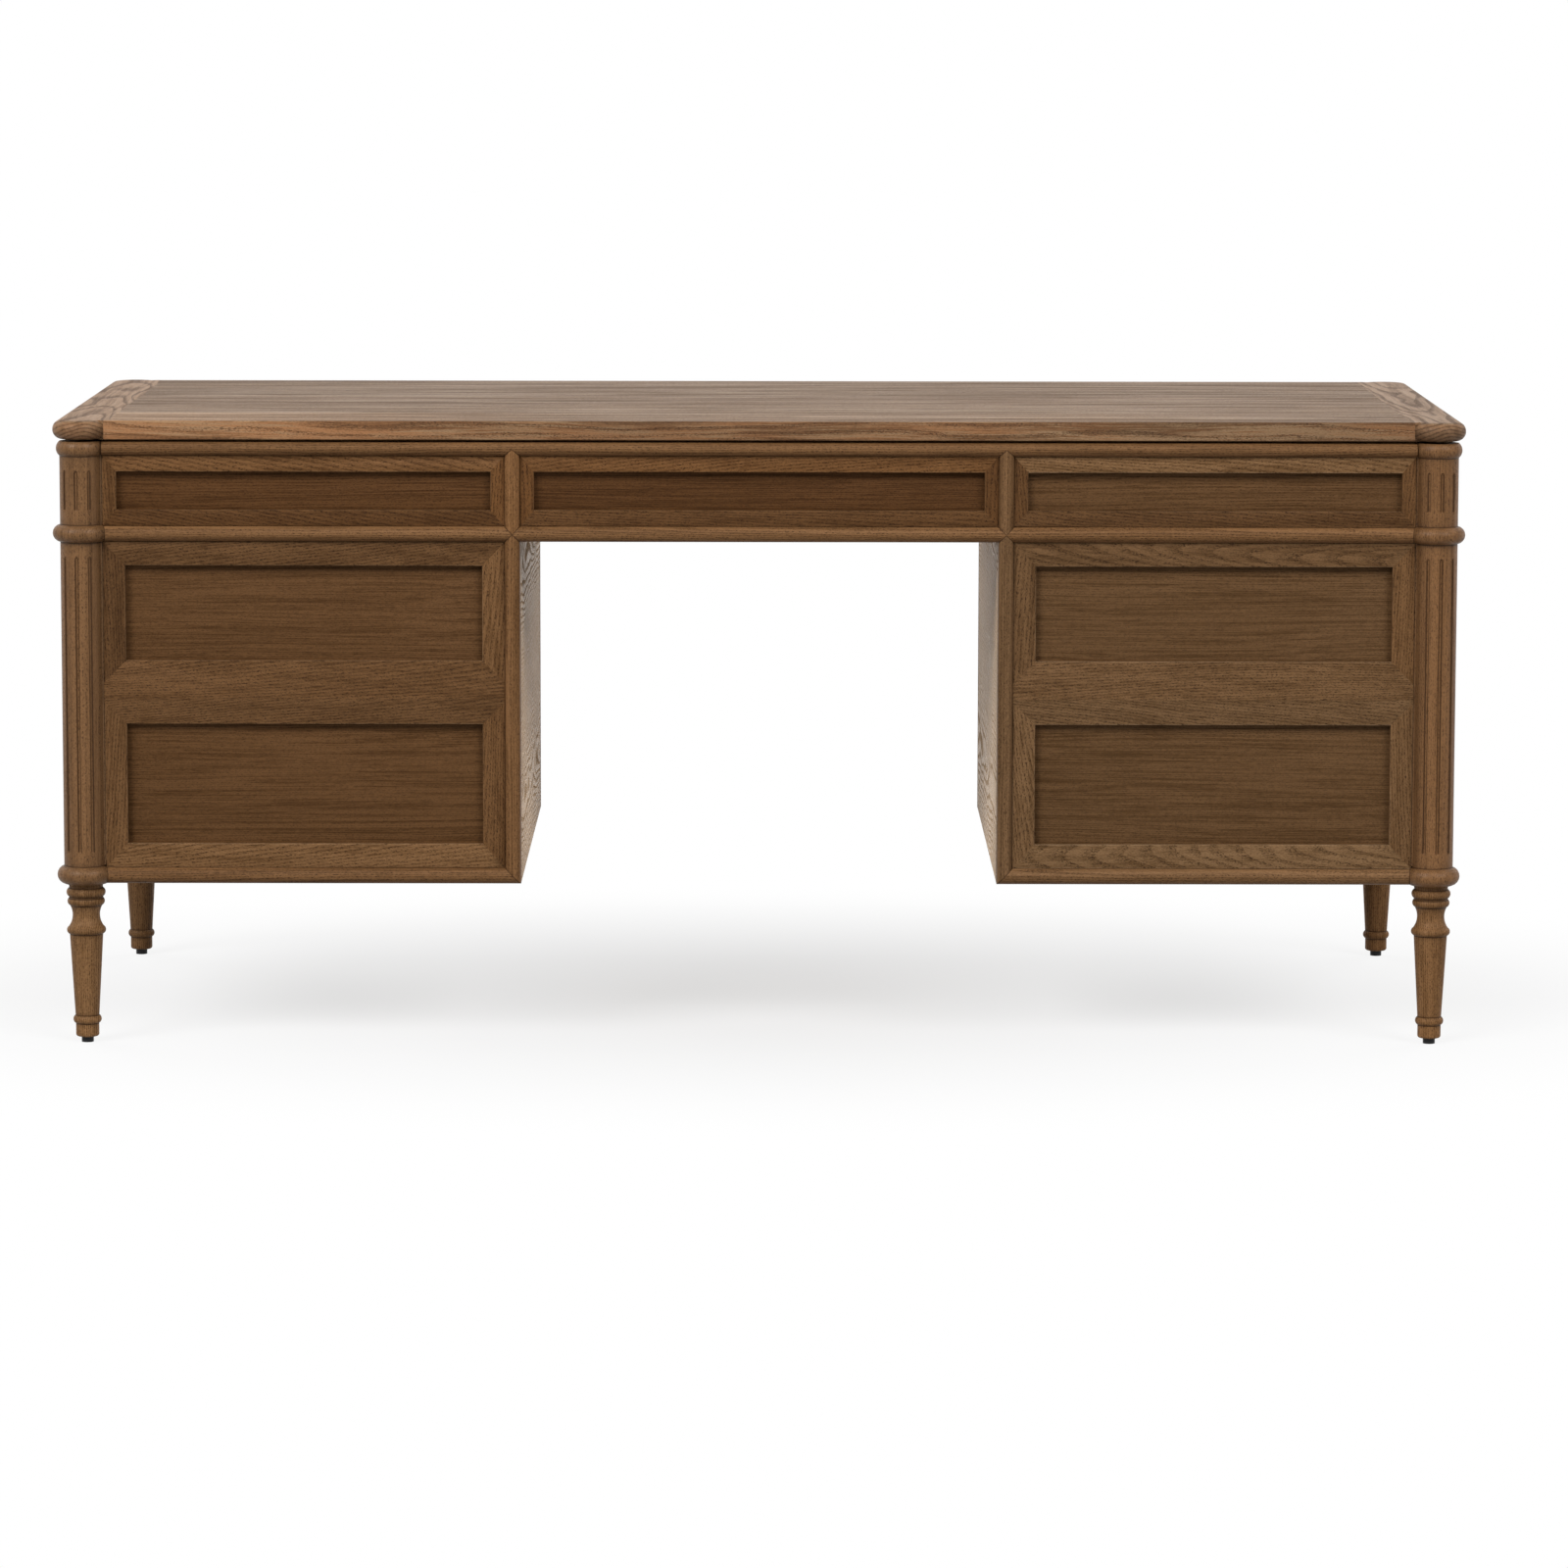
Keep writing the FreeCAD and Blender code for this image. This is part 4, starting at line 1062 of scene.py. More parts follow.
class Lathe:
    """The node tree that turns a profile, cuts its flutes and repeats it along a line."""

    INPUTS = {
        "NodeSocketInt": ("Segments", "Copies"),
        "NodeSocketVector": ("First", "Step", "Facing", "Aside", "Along"),
        "NodeSocketFloat": ("Flutes Each Side", "Flute Step", "Flute Half Width", "Flute Depth",
                            "Lower Flute Start", "Lower Flute End", "Upper Flute Start",
                            "Upper Flute End"),
        "NodeSocketMaterial": ("Finish",),
    }
    SEAM = 2e-6

    def __init__(self) -> None:
        """Build the tree."""
        self.tree = bpy.data.node_groups.new("Turned work", "GeometryNodeTree")
        face = self.tree.interface
        face.new_socket("Profile", in_out="INPUT", socket_type="NodeSocketGeometry")
        self.sockets = {name: face.new_socket(name, in_out="INPUT", socket_type=kind).identifier
                        for kind, names in self.INPUTS.items() for name in names}
        face.new_socket("Turned", in_out="OUTPUT", socket_type="NodeSocketGeometry")
        nodes = Nodes(self.tree)
        given = nodes.node("NodeGroupInput")
        line = given.out("Profile")
        count = nodes.node("GeometryNodeAttributeDomainSize", {"component": "MESH"},
                           {"Geometry": line})
        sheet = nodes.node("GeometryNodeMeshGrid", None, {
            "Size X": 1.0, "Size Y": 1.0, "Vertices X": given.out("Segments") + 1,
            "Vertices Y": count})
        place = nodes.node("GeometryNodeInputPosition")
        spread = nodes.node("ShaderNodeSeparateXYZ", None, {0: place})
        angle = spread.out("X") * (2 * math.pi)
        rank = ((spread.out("Y") + 0.5) * (count - 1)).math("ROUND")
        spot = nodes.node("GeometryNodeSampleIndex",
                          {"data_type": "FLOAT_VECTOR", "domain": "POINT"},
                          {"Geometry": line, "Value": place, "Index": rank})
        turned = nodes.node("ShaderNodeSeparateXYZ", None, {0: spot})
        radius, level = turned.out("X"), turned.out("Z")
        radius = radius - self.groove(given, angle, radius, level)

        parts = [nodes.scaled(given.out("Facing"), radius * angle.math("COSINE")),
                 nodes.scaled(given.out("Aside"), radius * angle.math("SINE")),
                 nodes.scaled(given.out("Along"), level)]
        where = nodes.vector("ADD", nodes.vector("ADD", parts[0], parts[1]), parts[2])
        shell = nodes.node("GeometryNodeSetPosition", None, {"Geometry": sheet, "Position": where})
        shell = nodes.node("GeometryNodeMergeByDistance", None,
                           {"Geometry": shell, "Distance": self.SEAM})
        row = nodes.node("GeometryNodeMeshLine", {"mode": "OFFSET"}, {
            "Count": given.out("Copies"), "Start Location": given.out("First"),
            "Offset": given.out("Step")})
        many = nodes.node("GeometryNodeInstanceOnPoints", None, {"Points": row, "Instance": shell})
        real = nodes.node("GeometryNodeRealizeInstances", None, {"Geometry": many})
        done = nodes.node("GeometryNodeSetMaterial", None,
                          {"Geometry": real, "Material": given.out("Finish")})
        nodes.node("NodeGroupOutput", None, {0: done})

    def groove(self, given: Value, angle: Value, radius: Value, level: Value) -> Value:
        """How deep the flutes are cut at a place on the shaft.

        Args:
            given: The tree's inputs.
            angle: The angle from the way that the shaft faces.
            radius: The shaft's radius.
            level: The level on the shaft.

        Returns:
            The depth, nothing beside the flutes.
        """
        most, gap = given.out("Flutes Each Side"), given.out("Flute Step")
        nearest = (angle / gap).math("ROUND").math("MINIMUM", most).math("MAXIMUM", most * -1)
        aside = (angle - nearest * gap) * radius
        beyond = []
        for name in ("Lower", "Upper"):
            below = given.out(f"{name} Flute Start") - level
            above = level - given.out(f"{name} Flute End")
            beyond.append(below.math("MAXIMUM", above).math("MAXIMUM", 0.0))
        past = beyond[0].math("MINIMUM", beyond[1])
        away = (aside * aside + past * past).math("SQRT") / given.out("Flute Half Width")
        return (1 - away * away).math("MAXIMUM", 0.0).math("SQRT") * given.out("Flute Depth")

    def turn(self, points: Sequence[Point2], finish: Finish, first: Vector,
             step: Vector = Vector((0, 0, 0)), copies: int = 1, along: Vector = UP,
             facing: Vector = ACROSS, segments: int = 96, flutes: Flutes = NO_FLUTES) -> Shape:
        """Turn a profile.

        Args:
            points: The profile's radius and level, from end to end.
            finish: Its finish.
            first: Where the first copy stands.
            step: The way to the next copy.
            copies: How many there are.
            along: The way that levels run.
            facing: The way that the flutes face.
            segments: Divisions round the axis.
            flutes: The grooves.

        Returns:
            The turned mesh, smooth, with its faces outwards.
        """
        line = bpy.data.meshes.new("profile")
        line.from_pydata([(radius, 0.0, level) for radius, level in points],
                         [(i, i + 1) for i in range(len(points) - 1)], [])
        holder = bpy.data.objects.new("profile", line)
        bpy.context.scene.collection.objects.link(holder)
        modifier = holder.modifiers.new("Lathe", "NODES")
        modifier.node_group = self.tree
        inputs = {
            "Segments": segments, "Copies": copies, "First": tuple(first), "Step": tuple(step),
            "Facing": tuple(facing), "Aside": tuple(along.cross(facing)), "Along": tuple(along),
            "Flutes Each Side": float(flutes.each_side), "Flute Step": flutes.step,
            "Flute Half Width": flutes.half, "Flute Depth": flutes.depth,
            "Lower Flute Start": flutes.lower[0], "Lower Flute End": flutes.lower[1],
            "Upper Flute Start": flutes.upper[0], "Upper Flute End": flutes.upper[1],
            "Finish": finish.material(),
        }
        for name, given in inputs.items():
            modifier[self.sockets[name]] = given
        graph = bpy.context.evaluated_depsgraph_get()
        plain = bpy.data.meshes.new_from_object(holder.evaluated_get(graph))
        holder.modifiers.remove(modifier)
        bpy.data.objects.remove(holder)
        shape = bmesh.new()
        shape.from_mesh(plain)
        bpy.data.meshes.remove(plain)
        bpy.data.meshes.remove(line)
        bmesh.ops.recalc_face_normals(shape, faces=shape.faces[:])
        for face in shape.faces:
            face.smooth, face.material_index = True, 0
        return shape


# Where the axes of the corners stand, and so the lobes of the top
AXIS_X, AXIS_Y = 821 * MM, 347 * MM


@dataclass
class Corner:
    """One corner of the desk: a fluted column engaged on its post, and the turned leg under it.

    What goes into a turned profile is in millimetres: the column's radius, the levels of the leg's
    and the column's top, each ring's level, radius and half height, the spans between the rings,
    the room above and below a flute with the finer rows at its ends, and the leg's foot and head,
    of which the head's levels are from the leg's top.
    """

    name: str
    side_x: int
    side_y: int
    column_shade: Optional[Point2] = None
    leg_shade: Optional[Point2] = None
    column_r: float = 26.0
    leg_top: float = 196.1
    column_top: float = 736.4
    rings: Sequence[Point3] = ((207.2, 34.4, 11.1), (624.75, 35.0, 10.6), (727.5, 30.1, 8.9))
    spans: Sequence[Point2] = ((217.0, 615.4), (634.1, 719.8))
    flute_margin: float = 20.2
    flute_rows: range = range(-2, 11)
    flute_row: float = 0.25
    foot: Sequence[Sequence[Any]] = (
        (0.0, 7.0), (11.6, 7.0), (14.2, 9.6, 3.2, Bend.BEAD), (14.2, 23.1),
        (14.5, 33.3, arc_radius(10.2, 2.9), Bend.BEAD), (17.4, 83.5))
    head: Sequence[Sequence[Any]] = (
        (20.3, -62.4), (21.2, -53.0, arc_radius(9.4, 3.0), Bend.BEAD),
        (19.6, -27.1, arc_radius(25.9, 3.8), Bend.COVE),
        (20.9, -17.9, arc_radius(9.2, 2.4), Bend.BEAD), (20.9, -16.2),
        (20.9, -5.6, arc_radius(10.6, 2.9), Bend.BEAD),
        (24.7, 0.0, arc_radius(5.6, 1.2), Bend.COVE), (0.0, 0.0))
    column_segments: int = 480
    leg_segments: int = 96
    post_in: float = 26 * MM
    post_out: float = 10.5 * MM
    post_low: float = 220.3 * MM
    post_ease: float = 0.8 * MM
    stain_width: float = 0.7 * MM
    # How deep in a flute its faces take stain and painted shade
    flute_stain_and_shade: Point2 = (0.2 * MM, 1.8 * MM)
    # Depth and reach of the glaze in the hollows, which is also painted shade
    glaze_and_painted_light: Point2 = (0.35, 3 * MM)
    # Painted shade on the column's inner side, where it meets its post: its depth, where it starts
    # and over how much it deepens, as cosines of the turn from the way out
    inner_painted_shade: float = 0.3
    inner_from: float = 0.5
    inner_over: float = 0.9
    # Painted light on the foot: how much lighter, and the levels where it is full and where it ends
    foot_painted_light: Point3 = (0.24, 22 * MM, 44 * MM)

    @property
    def centre(self) -> Vector:
        """The foot of the corner's axis."""
        return Vector((self.side_x * AXIS_X, self.side_y * AXIS_Y, 0))

    @property
    def facing(self) -> Vector:
        """The way out of the desk at this corner."""
        return Vector((self.side_x, self.side_y, 0)).normalized()

    def column_profile(self) -> list[Point2]:
        """Lay out the shaft with its rings, and with finer rows at the ends of its flutes.

        Returns:
            Radius and level of its points, in metres.
        """
        path = [(0.0, self.leg_top)]
        for (level, ring_r, half), span in zip(self.rings, (*self.spans, None)):
            bend = arc_radius(2 * half, ring_r - self.column_r)
            path += [(self.column_r, level - half), (self.column_r, level + half, bend, Bend.BEAD)]
            if span:
                low, high = span[0] + self.flute_margin, span[1] - self.flute_margin
                rows = [low - self.flute_row * i for i in reversed(self.flute_rows)]
                rows += [high + self.flute_row * i for i in self.flute_rows]
                path += [(self.column_r, row) for row in rows]
        return profile(*path, (self.column_r, self.column_top), (0.0, self.column_top))

    def column(self, lathe: Lathe) -> Piece:
        """Turn and flute the shaft, and stand it on its post.

        Args:
            lathe: What turns it.

        Returns:
            The piece.
        """
        margin = self.flute_margin
        ends = [((low + margin) * MM, (high - margin) * MM) for low, high in self.spans]
        path, found = hollows(self.column_profile(), self.stain_width)
        shape = lathe.turn(path, OAK_TURNED, self.centre, segments=self.column_segments,
                           facing=self.facing, flutes=Flutes(lower=ends[0], upper=ends[1]))
        # Faces deep in the flutes: stain and painted shade
        for face in shape.faces:
            spot = face.calc_center_median() - self.centre
            sunk = self.column_r * MM - math.hypot(spot.x, spot.y)
            in_flute = any(low < spot.z < high for low, high in ends)
            if in_flute and self.flute_stain_and_shade[0] < sunk < self.flute_stain_and_shade[1]:
                face.material_index = Edge.STAINED_AND_SHADED.value
        stain_hollows(shape, self.centre, found, self.stain_width)
        # Painted shade on the column's inner side, where it meets the post and the mouldings
        points = np.array([vert.co - self.centre for vert in shape.verts])
        away = np.maximum(np.hypot(*points[:, :2].T), NO_LENGTH)
        out = points[:, :2] @ np.array(self.facing)[:2] / away
        inner = np.clip((self.inner_from - out) / self.inner_over, 0.0, 1.0)
        shadow = 1 - self.inner_painted_shade * inner * inner * (3 - 2 * inner)
        blank = Blank()
        timber = Log(f"column {self.name}", *corners(shape), Run.UPRIGHT, Cut.RIFT, lean=0.012,
                     shade=self.column_shade)
        blank.add(shape, timber, glaze_and_painted_light=self.hollow_glaze_and_shade(points, found) * shadow)
        post = self.post()
        timber = Log(f"post {self.name}", *corners(post), Run.UPRIGHT, Cut.RIFT, lean=0.01)
        blank.add(post, timber)
        node = f"column_{self.name}"
        return blank.piece(f"{node}_dressed", [OAK_TURNED], "case", "oak_frame", node)

    def post(self) -> Shape:
        """Square up the post behind the column.

        Returns:
            Its mesh.
        """
        post = bmesh.new()
        bmesh.ops.create_cube(post, size=1.0)
        side, depth = self.post_in + self.post_out, (self.post_in - self.post_out) / 2
        tall = self.column_top * MM - self.post_low
        shift = Vector((-self.side_x * depth, -self.side_y * depth, self.post_low + tall / 2))
        size = Matrix.Diagonal((side, side, tall, 1))
        post.transform(Matrix.Translation(self.centre + shift) @ size)
        ease_edges(post, Run.UPRIGHT.value, self.post_ease, 0.0)
        return post

    def hollow_glaze_and_shade(self, points: np.ndarray, found: Sequence[Point2]) -> np.ndarray:
        """How dark glaze and painted shade are at points about the corner's axis, in hollows."""
        across = np.stack([np.hypot(points[:, 0], points[:, 1]), points[:, 2]], axis=1)
        return glaze_and_shade_near(across, np.array(found), *self.glaze_and_painted_light)

    def leg(self, lathe: Lathe) -> Piece:
        """Turn the leg: toe, foot, ankle, tapered shank, collar, cove and two beads under the cap.

        Args:
            lathe: What turns it.

        Returns:
            The piece.
        """
        head = [(radius, self.leg_top + level, *bent) for radius, level, *bent in self.head]
        path, found = hollows(profile(*self.foot, *head), self.stain_width)
        shape = lathe.turn(path, OAK_FRAME, self.centre, segments=self.leg_segments)
        stain_hollows(shape, self.centre, found, self.stain_width)
        points = np.array([vert.co - self.centre for vert in shape.verts])
        # Painted light: the foot lighter towards the floor
        lighter, full, none = self.foot_painted_light
        wear_and_painted_light = np.interp(points[:, 2], (full, none), (1 + lighter, 1.0))
        blank = Blank()
        timber = Log(f"leg {self.name}", *corners(shape), Run.UPRIGHT, Cut.PLAIN, lean=0.03,
                     shade=self.leg_shade)
        blank.add(shape, timber, glaze_and_painted_light=self.hollow_glaze_and_shade(points, found) * wear_and_painted_light)
        node = f"leg_{self.name}"
        return blank.piece(f"{node}_dressed", [OAK_FRAME], "case", "oak_frame", node)


@dataclass
class DeskTop:
    """The top: a field of planks along the width between two lobed end boards.

    Of a pair for the end boards, the left one's comes first.
    """

    low: float = 739 * MM
    high: float = 762 * MM
    lobe_r: float = 34 * MM
    edge_y: float = 364.5 * MM
    bullnose_flat: float = 0.6 * MM
    round_steps: int = 14
    lobe_steps: int = 40
    joint_steps: int = 6
    planks: Sequence[float] = (0.19, 0.37, 0.6, 0.79)
    plank_shades: Sequence[Point2] = ((1.12, 0.02), (1.12, 0.05), (0.95, 0.0), (0.98, 0.05),
                                      (0.97, 0.03))
    edge_fade: Sequence[Point2] = ((0.0, 1.46), (0.09, 1.42), (0.25, 1.2), (0.42, 0.93),
                                   (0.58, 1.06), (0.75, 1.1), (0.92, 0.92), (1.0, 0.91))
    end_shades: tuple[Point2, Point2] = ((1.06, 0.04), (1.02, 0.08))
    end_edges: Point2 = (0.84, 0.66)
    # Painted shade in the nooks where the lobes meet the field: its depth and reach
    lobe_painted_shade: Point2 = (0.4, 7 * MM)

    def planked_field(self) -> Piece:
        """Dress the field as edge-jointed planks."""
        return Joinery("top_field", OAK_TOP, "oak_top", run=Run.WIDTH, cut=Cut.RIFT, lean=0.006,
                       ease=0.0, planks=self.planks, shades=(self.plank_shades,),
                       rubbed_and_highlit_round=True, fade=self.edge_fade).dress()

    def outline(self, inset: float) -> list[Point2]:
        """The end board's outline at an inset, seen from above with the field towards +x.

        Args:
            inset: How far the rounded edge is drawn in.

        Returns:
            Points x and y from the middle of the board.
        """
        meet = math.asin(min(1.0, (self.edge_y - AXIS_Y) / self.lobe_r))
        lobe = [(self.lobe_r - inset, math.pi - (math.pi - meet) * i / self.lobe_steps)
                for i in range(self.lobe_steps + 1)]
        joint = [(self.lobe_r, meet * (1 - i / self.joint_steps))
                 for i in range(self.joint_steps + 1)]
        half = [(radius * math.cos(angle), AXIS_Y + radius * math.sin(angle))
                for radius, angle in lobe + joint]
        return half + [(x, -y) for x, y in reversed(half)]

    def end(self, name: str, side: int) -> Piece:
        """Build one end board, its rounded edge swept round both lobes.

        Args:
            name: left or right.
            side: -1 or 1, the side of the desk.

        Returns:
            The piece.
        """
        bend = (self.high - self.low - self.bullnose_flat) / 2
        levels = []
        for i in range(self.round_steps + 1):
            angle = math.pi / 2 * (i / self.round_steps)
            levels.append((bend * (1 - math.sin(angle)), self.low + bend * (1 - math.cos(angle))))
        levels += [(inset, self.low + self.high - level) for inset, level in reversed(levels)]
        shape = bmesh.new()
        rows = [[shape.verts.new((-side * x + side * AXIS_X, y, level))
                 for x, y in self.outline(inset)] for inset, level in levels]
        for lower, upper in zip(rows, rows[1:]):
            for ring in zip(lower, lower[1:] + lower[:1], upper[1:] + upper[:1], upper):
                shape.faces.new(ring).smooth = True
        for row in (rows[0], rows[-1]):
            shape.faces.new(row)
        bmesh.ops.remove_doubles(shape, verts=shape.verts[:], dist=Lathe.SEAM)
        bmesh.ops.recalc_face_normals(shape, faces=shape.faces[:])
        timber = Log(f"end board {name} a", *corners(shape), Run.DEPTH, Cut.PLAIN, lean=0.03,
                     shade=self.end_shades[side > 0])
        rub_and_highlight_sides(shape)
        # Painted shade in the nooks where each lobe meets the field, and the rounded edge darker,
        # the right end's more, fading to nothing at the top face
        points = np.array([vert.co for vert in shape.verts])
        meet = side * (AXIS_X - math.sqrt(self.lobe_r ** 2 - (self.edge_y - AXIS_Y) ** 2))
        nooks = np.array([(meet, self.edge_y), (meet, -self.edge_y)])
        glaze_and_painted_light = glaze_and_shade_near(points[:, :2], nooks, *self.lobe_painted_shade) * self.end_edges[side > 0]
        depth = np.clip((self.high - points[:, 2]) / bend, 0.0, 1.0)
        blank = Blank()
        blank.add(shape, timber, glaze_and_painted_light=1 - (1 - glaze_and_painted_light) * depth)
        node = f"top_end_{name}"
        return blank.piece(f"{node}_dressed", [OAK_END], "case", "oak_top", node)


# How light and how grey the boards of the visitor's side are, board by board: partly each board's
# own tone, and partly painted light and shade
VISITOR_TONES_AND_PAINTED_LIGHT: dict[str, Shades] = {
    "visitor_bead_rails": ((0.90, -0.02), (1.04, 0.06), (0.94, -0.02), (1.01, -0.01)),
    "visitor_bead_posts": ((1.33, -0.03), (1.06, -0.02), (1.02, 0.08), (0.98, 0.12)),
    "visitor_frames_upper": (
        (0.53, -0.15), (0.88, -0.06), (0.71, -0.06), (0.74, -0.14), (0.61, -0.09), (0.83, -0.11),
        (0.63, -0.18), (0.52, -0.16), (0.58, -0.05), (1.19, 0.12), (0.56, -0.09), (0.72, -0.05)),
    "visitor_frame_lower_left": (
        (1.12, 0.07), (0.71, 0.00), ((0.71, 0.00), (0.74, -0.02)), (0.82, 0.02), (0.76, -0.03),
        (0.55, -0.04), (1.03, 0.03)),
    "visitor_frame_lower_right": (
        (1.16, 0.18), (0.86, 0.10), ((0.92, 0.15), (0.92, 0.10)), (0.98, 0.14), (0.93, 0.10),
        (0.83, 0.09), (0.87, 0.02)),
    "visitor_panels": ((0.71, -0.07), (0.65, -0.09), (0.95, 0.12), (0.92, 0.06), (1.03, 0.17)),
}


@dataclass
class Carcass:
    """The fixed joinery: faces, mouldings, inner boards, slides and glides.

    The screw head's profile is in millimetres.
    """

    mitre_stain: float = 0.6 * MM
    rail_planks: Sequence[float] = (0.4,)
    rail_planks_above: float = 60 * MM
    mitre_hairline: float = 0.15 * MM
    kneehole_hairline: float = 1.8 * MM
    channel_ease: float = 0.3 * MM
    screw_head: Sequence[Point2] = ((0.0, 0.0), (3.3, 0.0), (3.3, 0.35), (2.7, 0.85), (1.5, 1.1),
                                    (1.0, 1.1), (0.8, 0.45), (0.0, 0.45))
    screw_ends: float = 60 * MM
    screw_count: int = 3
    screw_segments: int = 16
    web_above: float = 10 * MM

    def beads(self, node: str, joint_line: float = 0.0) -> Joinery:
        """Half-round mouldings."""
        return Joinery(node, OAK_BEAD, "oak_frame", cut=Cut.RIFT, lean=0.008,
                       joint_line=joint_line, shades=VISITOR_TONES_AND_PAINTED_LIGHT.get(node, ()))

    def frames(self, node: str, lean: float, figured: Sequence[int] = ()) -> Joinery:
        """Mitred frames, of which wide rails are jointed from two planks."""
        return Joinery(node, OAK_FRAME, "oak_frame", cut=Cut.RIFT, lean=lean, framed=True,
                       hairline=self.mitre_hairline, planks=self.rail_planks,
                       planks_above=self.rail_planks_above,
                       shades=VISITOR_TONES_AND_PAINTED_LIGHT.get(node, ()), figured=figured)

    def panels(self, node: str, run: Run) -> Joinery:
        """Panels set back in their frames."""
        return Joinery(node, OAK_PANEL_PAINTED_SHADE, "oak_panel", run=run, cut=Cut.RIFT, lean=0.012,
                       shades=VISITOR_TONES_AND_PAINTED_LIGHT.get(node, ()))

    def boards(self) -> list[Joinery]:
        """Choose the finish, grain and edges of the case's boards.

        Returns:
            The boards, node by node.
        """
        rows = [self.beads(f"{face}_bead_{kind}", self.mitre_stain)
                for face in ("visitor", "sitter") for kind in ("rails", "posts")]
        rows += [
            self.frames("visitor_frames_upper", lean=0.1),
            self.frames("visitor_frame_lower_left", lean=0.1),
            self.frames("visitor_frame_lower_right", lean=0.1, figured=(0, 1)),
            self.panels("visitor_panels", Run.WIDTH),
        ]
        for side in ("left", "right"):
            rows += [
                self.frames(f"end_frames_{side}", lean=0.03),
                self.panels(f"end_panels_{side}", Run.DEPTH),
                self.beads(f"end_rails_{side}"),
                Joinery(f"kneehole_panel_{side}", OAK_KNEEHOLE_PAINTED_LIGHT, "oak_kneehole", run=Run.DEPTH,
                        lean=0.03, hairline=self.kneehole_hairline, joint=Edge.RUBBED,
                        planks=(0.52,)),
            ]
        return rows + [
            Joinery("top_spacers", OAK_FRAME, "inner_wood"),
            Joinery("pedestal_floors", INNER_WOOD, "inner_wood", run=Run.DEPTH,
                    planks=(0.33, 0.66)),
            Joinery("slide_packers", INNER_WOOD, "inner_wood", run=Run.DEPTH),
            Joinery("slide_channels", SLIDE_STEEL, "slide_steel", run=Run.DEPTH,
                    ease=self.channel_ease),
            Joinery("glides", GLIDE_PLASTIC, "glide_plastic", run=Run.UPRIGHT, ease=0.0),
        ]

    def screws(self, lathe: Lathe) -> Piece:
        """Set a row of screws along the web of every slide channel.

        Args:
            lathe: What turns their heads.

        Returns:
            The piece.
        """
        found = boxes("slide_channels")
        webs = [pair for pair in found if pair[1].z - pair[0].z > self.web_above]
        flanges = [(low + high) / 2 for low, high in found if high.z - low.z <= self.web_above]
        blank = Blank()
        head = profile(*self.screw_head)
        for number, (low, high) in enumerate(webs):
            middle = (low + high) / 2
            near = min(flanges, key=lambda spot: (spot - middle).length)
            inward = math.copysign(1.0, near.x - middle.x)
            first = Vector((high.x if inward > 0 else low.x, low.y + self.screw_ends, middle.z))
            gap = (high.y - low.y - 2 * self.screw_ends) / (self.screw_count - 1)
            shape = lathe.turn(head, SLIDE_STEEL, first, gap * BACK, self.screw_count,
                               along=inward * ACROSS, facing=UP, segments=self.screw_segments)
            timber = Log(f"screws {number}", *corners(shape), Run.DEPTH, Cut.PLAIN, lean=0.0)
            blank.add(shape, timber)
        return blank.piece("slide_screws", [SLIDE_STEEL], "case", "slide_steel")


@dataclass
class Drawer:
    """One drawer: its panelled front, box, slide bars and two turned knobs.

    The knob's profile is in millimetres, out from the front.
    """

    name: str
    mitre_hairline: float = 0.15 * MM
    box_ease: float = 1.2 * MM
    bar_ease: float = 0.8 * MM
    knob: Sequence[Sequence[Any]] = (
        (0.0, 0.0), (9.0, 0.0), (9.5, 0.5, 0.5, Bend.BEAD), (9.5, 2.4),
        (8.9, 3.0, 0.6, Bend.BEAD), (7.4, 3.4), (6.0, 6.6, 5.0, Bend.COVE), (6.0, 9.2),
        (7.2, 11.6, 4.2, Bend.COVE), (13.5, 20.5, 14.5, Bend.BEAD), (9.6, 27.3, 11.0, Bend.BEAD),
        (5.0, 28.9, 14.5, Bend.BEAD), (0.0, 29.0))
    knob_segments: int = 64

    def knobs(self, lathe: Lathe) -> Piece:
        """Turn the knobs where the CAD knobs stand.

        Args:
            lathe: What turns them.

        Returns:
            The piece.
        """
        places = boxes(f"{self.name}_knobs")
        spots = sorted(((low + high) / 2 for low, high in places), key=lambda spot: spot.x)
        first, step = spots[0].copy(), spots[1] - spots[0]
        first.y = places[0][0].y
        shape = lathe.turn(profile(*self.knob), OAK_KNOB, first, step, len(spots), along=BACK,
                           facing=UP, segments=self.knob_segments)
        timber = Log(f"{self.name} knobs", *corners(shape), Run.DEPTH, Cut.RIFT, lean=0.0)
        blank = Blank()
        blank.add(shape, timber)
        return blank.piece(f"{self.name}_knobs_dressed", [OAK_KNOB], self.name, "knob_wood",
                           f"{self.name}_knobs")

    def build(self, lathe: Lathe) -> None:
        """Dress every part of the drawer.

        Args:
            lathe: What turns the knobs.
        """
        Joinery(f"{self.name}_front", OAK_FRAME, "oak_frame", self.name, cut=Cut.RIFT, lean=0.03,
                hairline=self.mitre_hairline, panel_finish=OAK_PANEL_PAINTED_SHADE).dress()
        Joinery(f"{self.name}_box", DRAWER_WOOD, "drawer_wood", self.name, lean=0.015,
                ease=self.box_ease).dress()
        Joinery(f"{self.name}_slide_bars", SLIDE_STEEL, "slide_steel", self.name, run=Run.DEPTH,
                ease=self.bar_ease).dress()
        self.knobs(lathe)


